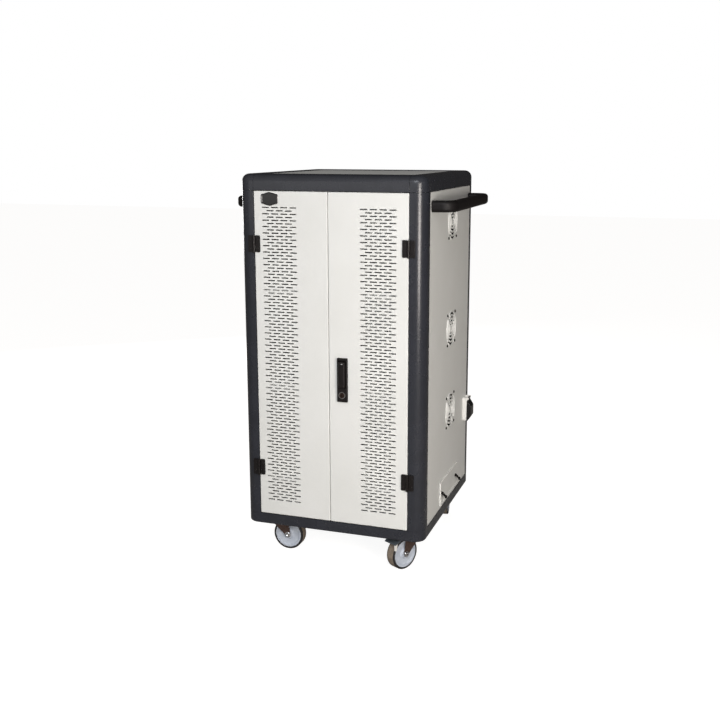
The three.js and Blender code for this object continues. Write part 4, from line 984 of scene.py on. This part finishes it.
def mirrored(shape):
    """A closed profile from its half on one side of the wheel."""
    profile = moved(shape, 0, WHEEL_HALF)
    return profile + [(radius, -along) for radius, along in reversed(profile)]


shoulder = arc((WHEEL_RADIUS - SHOULDER, WHEEL_HALF - SHOULDER), SHOULDER, 0, 90, SHOULDER_STEPS)
shoulder += moved(BEAD_SEAT, 0, WHEEL_HALF)
for place in PLACES:
    body = f"wheel_{place}"
    bm = turned(bmesh.new(), "y", hub, mirrored(TREAD), WHEEL_SIDES, closed=True)
    caster_piece(f"tread_{place}", bm, tread_rubber, body, place, [f"wheel_{place}"])
    bm = bmesh.new()
    for side in (-1, 1):
        turned(bm, "y", hub, [(radius, side * along) for radius, along in shoulder], WHEEL_SIDES, closed=True)
    caster_piece(f"tyre_shoulders_{place}", bm, black_rubber, body, place)
    bm = turned(bmesh.new(), "y", hub, mirrored(DISC), WHEEL_SIDES, closed=True)
    caster_piece(f"wheel_disc_{place}", bm, wheel_nylon, body, place)
print("wheels:", len(PLACES))

# %% Brake pedals
# A rib is written about its foot, and the release tab from the tread's lower tip, in mm.
PEDAL_WIDTH, TREAD_WIDTH, RIB_FILLET = mm(26, 48, 0.4)
PEDAL_THICK, PEDAL_FLAT, PEDAL_REACH, PEDAL_DROP, PEDAL_FILLET, PEDAL_PIN = mm(4, 24, 60, 13, 1.5, 2.2)
RIBS = 5
RIB = [(-2, -1), (2, -1), (0, 1.2)]
RIB_WIDTH = TREAD_WIDTH - 3 * MM
TAB = [(-13, 2), (-1, 0.5), (-1, -17), (-5, -20), (-9, -17)]
TAB_SIDE = mm(18, 21)
for hand in SIDES:
    place = f"front_{hand}"
    pin = joints[f"brake_press_{place}"]
    pin_x = (pin - joints[f"caster_swivel_{place}"]).xy.length
    bend, tip = pin_x + PEDAL_FLAT, pin_x + PEDAL_REACH
    thick = PEDAL_THICK / 2
    below, above = span(pin.z, PEDAL_THICK)
    arm = plate((pin_x - thick, bend), span(0, PEDAL_WIDTH), FINE_CORNER)
    bm = stacked(bmesh.new(), "z", arm, [(0, below), (0, above)])
    outline = [(bend - thick, below), (bend, below), (tip, below - PEDAL_DROP)]
    outline += [(tip, above - PEDAL_DROP), (bend, above), (bend - thick, above)]
    prism(bm, "y", filleted(outline, PEDAL_FILLET), span(0, TREAD_WIDTH))
    for rib in range(RIBS):
        share = (rib + 0.5) / RIBS
        corners = moved(RIB, bend + (tip - bend) * share, above - PEDAL_DROP * share)
        prism(bm, "y", filleted(corners, RIB_FILLET), span(0, RIB_WIDTH))
    turned(bm, "y", (pin_x, pin.z), [(PEDAL_PIN, -LEG_OUTER), (PEDAL_PIN, LEG_OUTER)], PIN_SIDES)
    body = f"brake_{place}"
    caster_piece(f"pedal_{place}", bm, slate_coat, body, place, [f"brake_pedal_{place}"], ease=EASE)
    tab = filleted(moved(TAB, tip, below - PEDAL_DROP), PEDAL_FILLET)
    caster_piece(f"release_tab_{place}", prism(bmesh.new(), "y", tab, TAB_SIDE), white_plastic, body, place)
print("pedals:", len(SIDES))

# %% [markdown]
# ## Power inlet and access hatch
# The inlet is a white moulded box under a hooded black lid, which lifts on two ears. Below it, the hatch is
# a plate over a doorway in the panel, on a strip hinge, with two latches whose levers lean out and hang down.

# %% Power inlet
INLET_PROUD, INLET_EDGE, INLET_EASE = mm(14, 1, 0.6)
EAR, EAR_HEIGHT, EAR_ROOT, EAR_GAP = mm(5, 7, 4, 0.4)
inlet_face = panel_x + INLET_PROUD
box_top = inlet_top - EAR_HEIGHT
front = plate(inlet_y, (inlet_bottom, box_top), BROAD_CORNER)
bm = stacked(bmesh.new(), "x", front, chamfered(panel_x, inlet_face, INLET_EDGE))
ear = [(panel_x, box_top - EAR_ROOT), (inlet_front, box_top + EAR_GAP)]
ear = filleted(ear + [(inlet_front, inlet_top), (panel_x, inlet_top)], SMALL_CORNER)
for y in ((inlet_y[0], inlet_y[0] + EAR), (inlet_y[1] - EAR, inlet_y[1])):
    prism(bm, "y", ear, y)
piece("inlet_box", bm, white_plastic, "cabinet", ["inlet_housing"], ease=INLET_EASE)
show("inlet:", inlet_y, "wide")

# %% Inlet lid
LID_EDGE, LID_SLOPE, LID_DROP, LID_FILLET, LID_EASE = mm(3, 18, 4.5, 1.2, 0.8)
TAB_GAP, TAB_LAP, TAB_THICK, LID_PIN = mm(0.3, 6, 3.7, 2)
(lid_back, lid_face), _, (lid_foot, _) = ranges(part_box("inlet_lid"))
lid_top = box_top - LID_DROP
hood = [(lid_back, lid_foot), (lid_back + LID_EDGE, lid_foot), (lid_face, lid_foot + LID_SLOPE)]
hood += [(lid_face, lid_top - LID_SLOPE), (lid_back + LID_EDGE, lid_top), (lid_back, lid_top)]
bm = prism(bmesh.new(), "y", filleted(hood, LID_FILLET), inlet_y)
lid_axis = joints["inlet_lid_hinge"]
tab_front, tab_foot, tab_top = lid_back + TAB_THICK, lid_top - TAB_LAP, lid_axis.z + LID_PIN
tab = [(lid_back, tab_foot), (tab_front, tab_foot), (tab_front, tab_top), (lid_back, tab_top)]
prism(bm, "y", filleted(tab, FINE_CORNER), shrunk(inlet_y, EAR + TAB_GAP))
turned(bm, "y", (lid_axis.x, lid_axis.z), [(LID_PIN, y) for y in inlet_y], PIN_SIDES)
piece("inlet_cover", bm, black_gloss, "inlet_lid", ["inlet_lid"], ease=LID_EASE)
show("lid:", (lid_foot, lid_top), "tall")

# %% Hatch
HATCH_THICK, HATCH_EDGE = mm(2, 0.6)
HATCH_BARREL_SIDES = 20
TRIM_WIDTH, TRIM_PROUD, TRIM_CORNER, TRIM_ABOVE_HINGE = mm(2.4, 2.6, 0.8, 5)
hatch_axis = joints["hatch_hinge"]
hatch_face = hatch_back + HATCH_THICK
hatch_plan = plate(hatch_y, (hatch_axis.z, hatch_z[1]), CORNER)
bm = stacked(bmesh.new(), "x", hatch_plan, chamfered(hatch_back, hatch_face, HATCH_EDGE))
barrel = hatch_axis.x - hatch_back
turned(bm, "y", (hatch_axis.x, hatch_axis.z), [(barrel, y) for y in hatch_y], HATCH_BARREL_SIDES)
piece("hatch_plate", bm, white_coat, "access_hatch", ["access_hatch"])
proud = (hatch_face, hatch_face + TRIM_PROUD)
upright = rounded(proud, span(hatch_y[0] + TRIM_WIDTH / 2, TRIM_WIDTH), TRIM_CORNER, HOLE_STEPS)
level = rounded(proud, span(hatch_z[1] - TRIM_WIDTH / 2, TRIM_WIDTH), TRIM_CORNER, HOLE_STEPS)
bm = prism(bmesh.new(), "z", upright, (hatch_axis.z + TRIM_ABOVE_HINGE, hatch_z[1]))
prism(bm, "y", level, hatch_y)
piece("hatch_edge_trim", bm, white_plastic, "access_hatch")
show("hatch:", hatch_y, "wide")

# %% Latches
# The lever and the knob's profile are written from the front of the boss, in mm.
LATCH_BOSS, LATCH_PROUD, LATCH_WIDTH, KNOB_DROP = mm(5, 6, 7, 10)
LATCH_LEVER = [(-5, 2), (0, 2), (10, -10), (5, -10)]
KNOB = [(3.5, 5), (5.5, 7), (5.5, 11), (3.5, 13)]
TONGUE_LENGTH, TONGUE_THICK = mm(20, 3)
face = hatch_face + LATCH_PROUD
for end in ENDS:
    pivot = joints[f"hatch_latch_turn_{end}"]
    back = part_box(f"hatch_latch_{end}")[0].x
    boss = [(LATCH_BOSS, back), (LATCH_BOSS, face - FINE_CORNER), (LATCH_BOSS - FINE_CORNER, face)]
    bm = turned(bmesh.new(), "x", pivot.yz, boss, SMALL_SIDES)
    lever = filleted(moved(LATCH_LEVER, face, pivot.z), FINE_CORNER)
    prism(bm, "y", lever, span(pivot.y, LATCH_WIDTH))
    turned(bm, "x", (pivot.y, pivot.z - KNOB_DROP), moved(KNOB, 0, face), SMALL_SIDES)
    tongue = plate(span(pivot.y, LATCH_BOSS), (pivot.z - TONGUE_LENGTH, pivot.z), FINE_CORNER)
    stacked(bm, "x", tongue, [(0, back), (0, back + TONGUE_THICK)])
    piece(f"drop_latch_{end}", bm, black_plastic, f"hatch_latch_{end}", [f"hatch_latch_{end}"], ease=EASE)
print("latches:", len(ENDS))

# %% [markdown]
# ## Inside
# Fans, shelves, partition, power strip and lock cam stay as the CAD drew them. They are plain pressed or
# moulded parts and only need their finishes.

# %% Inside
INSIDE = {
    "shelf": white_coat, "partition": white_coat, "power_strip": white_plastic,
    "lock_cam": zinc_plate, "fan": black_plastic,
}
for name, node in frame["nodes"].items():
    for start, material in INSIDE.items():
        if name.startswith(start):
            node.data.materials.clear()
            node.data.materials.append(material)
print("finished inside:", len(INSIDE), "kinds of part")

# %% [markdown]
# ## Floor and light
# The photograph is a cut-out on white. A grey floor that adds light of its own for the camera alone reads
# as white and keeps a soft shadow under the wheels. A large soft box, high in front, lights the doors. A
# strip at the right draws the long highlight on the corner post and lights the side panel. Two weaker lamps
# fill in from low in front and from behind.

# %% Floor
FLOOR_SIZE = 30.0
FLOOR_LIFT = 0.9
floor_mesh = bmesh.new()
bmesh.ops.create_grid(floor_mesh, x_segments=1, y_segments=1, size=FLOOR_SIZE / 2)
mesh = bpy.data.meshes.new("studio_floor")
floor_mesh.to_mesh(mesh)
floor_mesh.free()
floor = new_object("studio_floor", mesh)
floor_paint, tree, shader = new_material(
    "studio_white", Roughness=0.9, Base_Color=srgb("#A3A09C"), Emission_Color=srgb("#FFFFFF"))
seen = add(tree, "LightPath", output="Is Camera Ray")
lift = add(tree, "Math", {0: seen, 1: FLOOR_LIFT}, operation="MULTIPLY")
tree.links.new(lift, shader.inputs["Emission Strength"])
mesh.materials.append(floor_paint)
print("floor:", FLOOR_SIZE, "m wide")

# %% World
AMBIENT_FRONT = 0.5
AMBIENT_REAR = 0.04
world = bpy.data.worlds.new("studio")
bpy.context.scene.world = world
world.use_nodes = True
tree = world.node_tree
seen = add(tree, "LightPath", output="Is Camera Ray")
toward = add(tree, "SeparateXYZ", {0: add(tree, "TexCoord", output="Generated")}, "Y")
room = {"Value": toward, "From Min": -1.0, "From Max": 0.5, "To Min": AMBIENT_FRONT, "To Max": AMBIENT_REAR}
glow = add(tree, "MapRange", room)
level = add(tree, "MapRange", {"Value": seen, "To Min": glow, "To Max": 1.0})
tone = add(tree, "Mix", {0: seen, 6: srgb("#FFF9F2"), 7: srgb("#FFFFFF")}, 2, data_type="RGBA")
background = tree.nodes["Background"]
tree.links.new(tone, background.inputs["Color"])
tree.links.new(level, background.inputs["Strength"])
print("world set")


# %% Lights
def soft_box(name, place, aim, size, power, colour="#FFFFFF"):
    """A rectangular soft box that points at a place."""
    light = bpy.data.lights.new(name, "AREA")
    light.shape = "RECTANGLE"
    light.size, light.size_y = size
    light.energy = power
    light.color = srgb(colour)[:3]
    lamp = new_object(name, light)
    lamp.location = place
    lamp.rotation_euler = (Vector(aim) - Vector(place)).to_track_quat("-Z", "Y").to_euler()


soft_box("front_soft_box", (0.7, -4.4, 3.0), (0, 0, 0.6), size=(2.2, 2.2), power=93, colour="#F3F7FF")
soft_box("right_strip", (1.556, -1.8, 0.92), (0.25, -0.25, 0.9), size=(0.6, 0.7), power=28, colour="#FFF8F2")
soft_box("low_fill", (-1.5, -4.2, 1.25), (0, 0, 0.8), size=(2.0, 1.0), power=6)
soft_box("rear_fill", (-2.0, 2.8, 0.85), (0, 0, 0.7), size=(2.0, 0.5), power=30)
print("lights set")
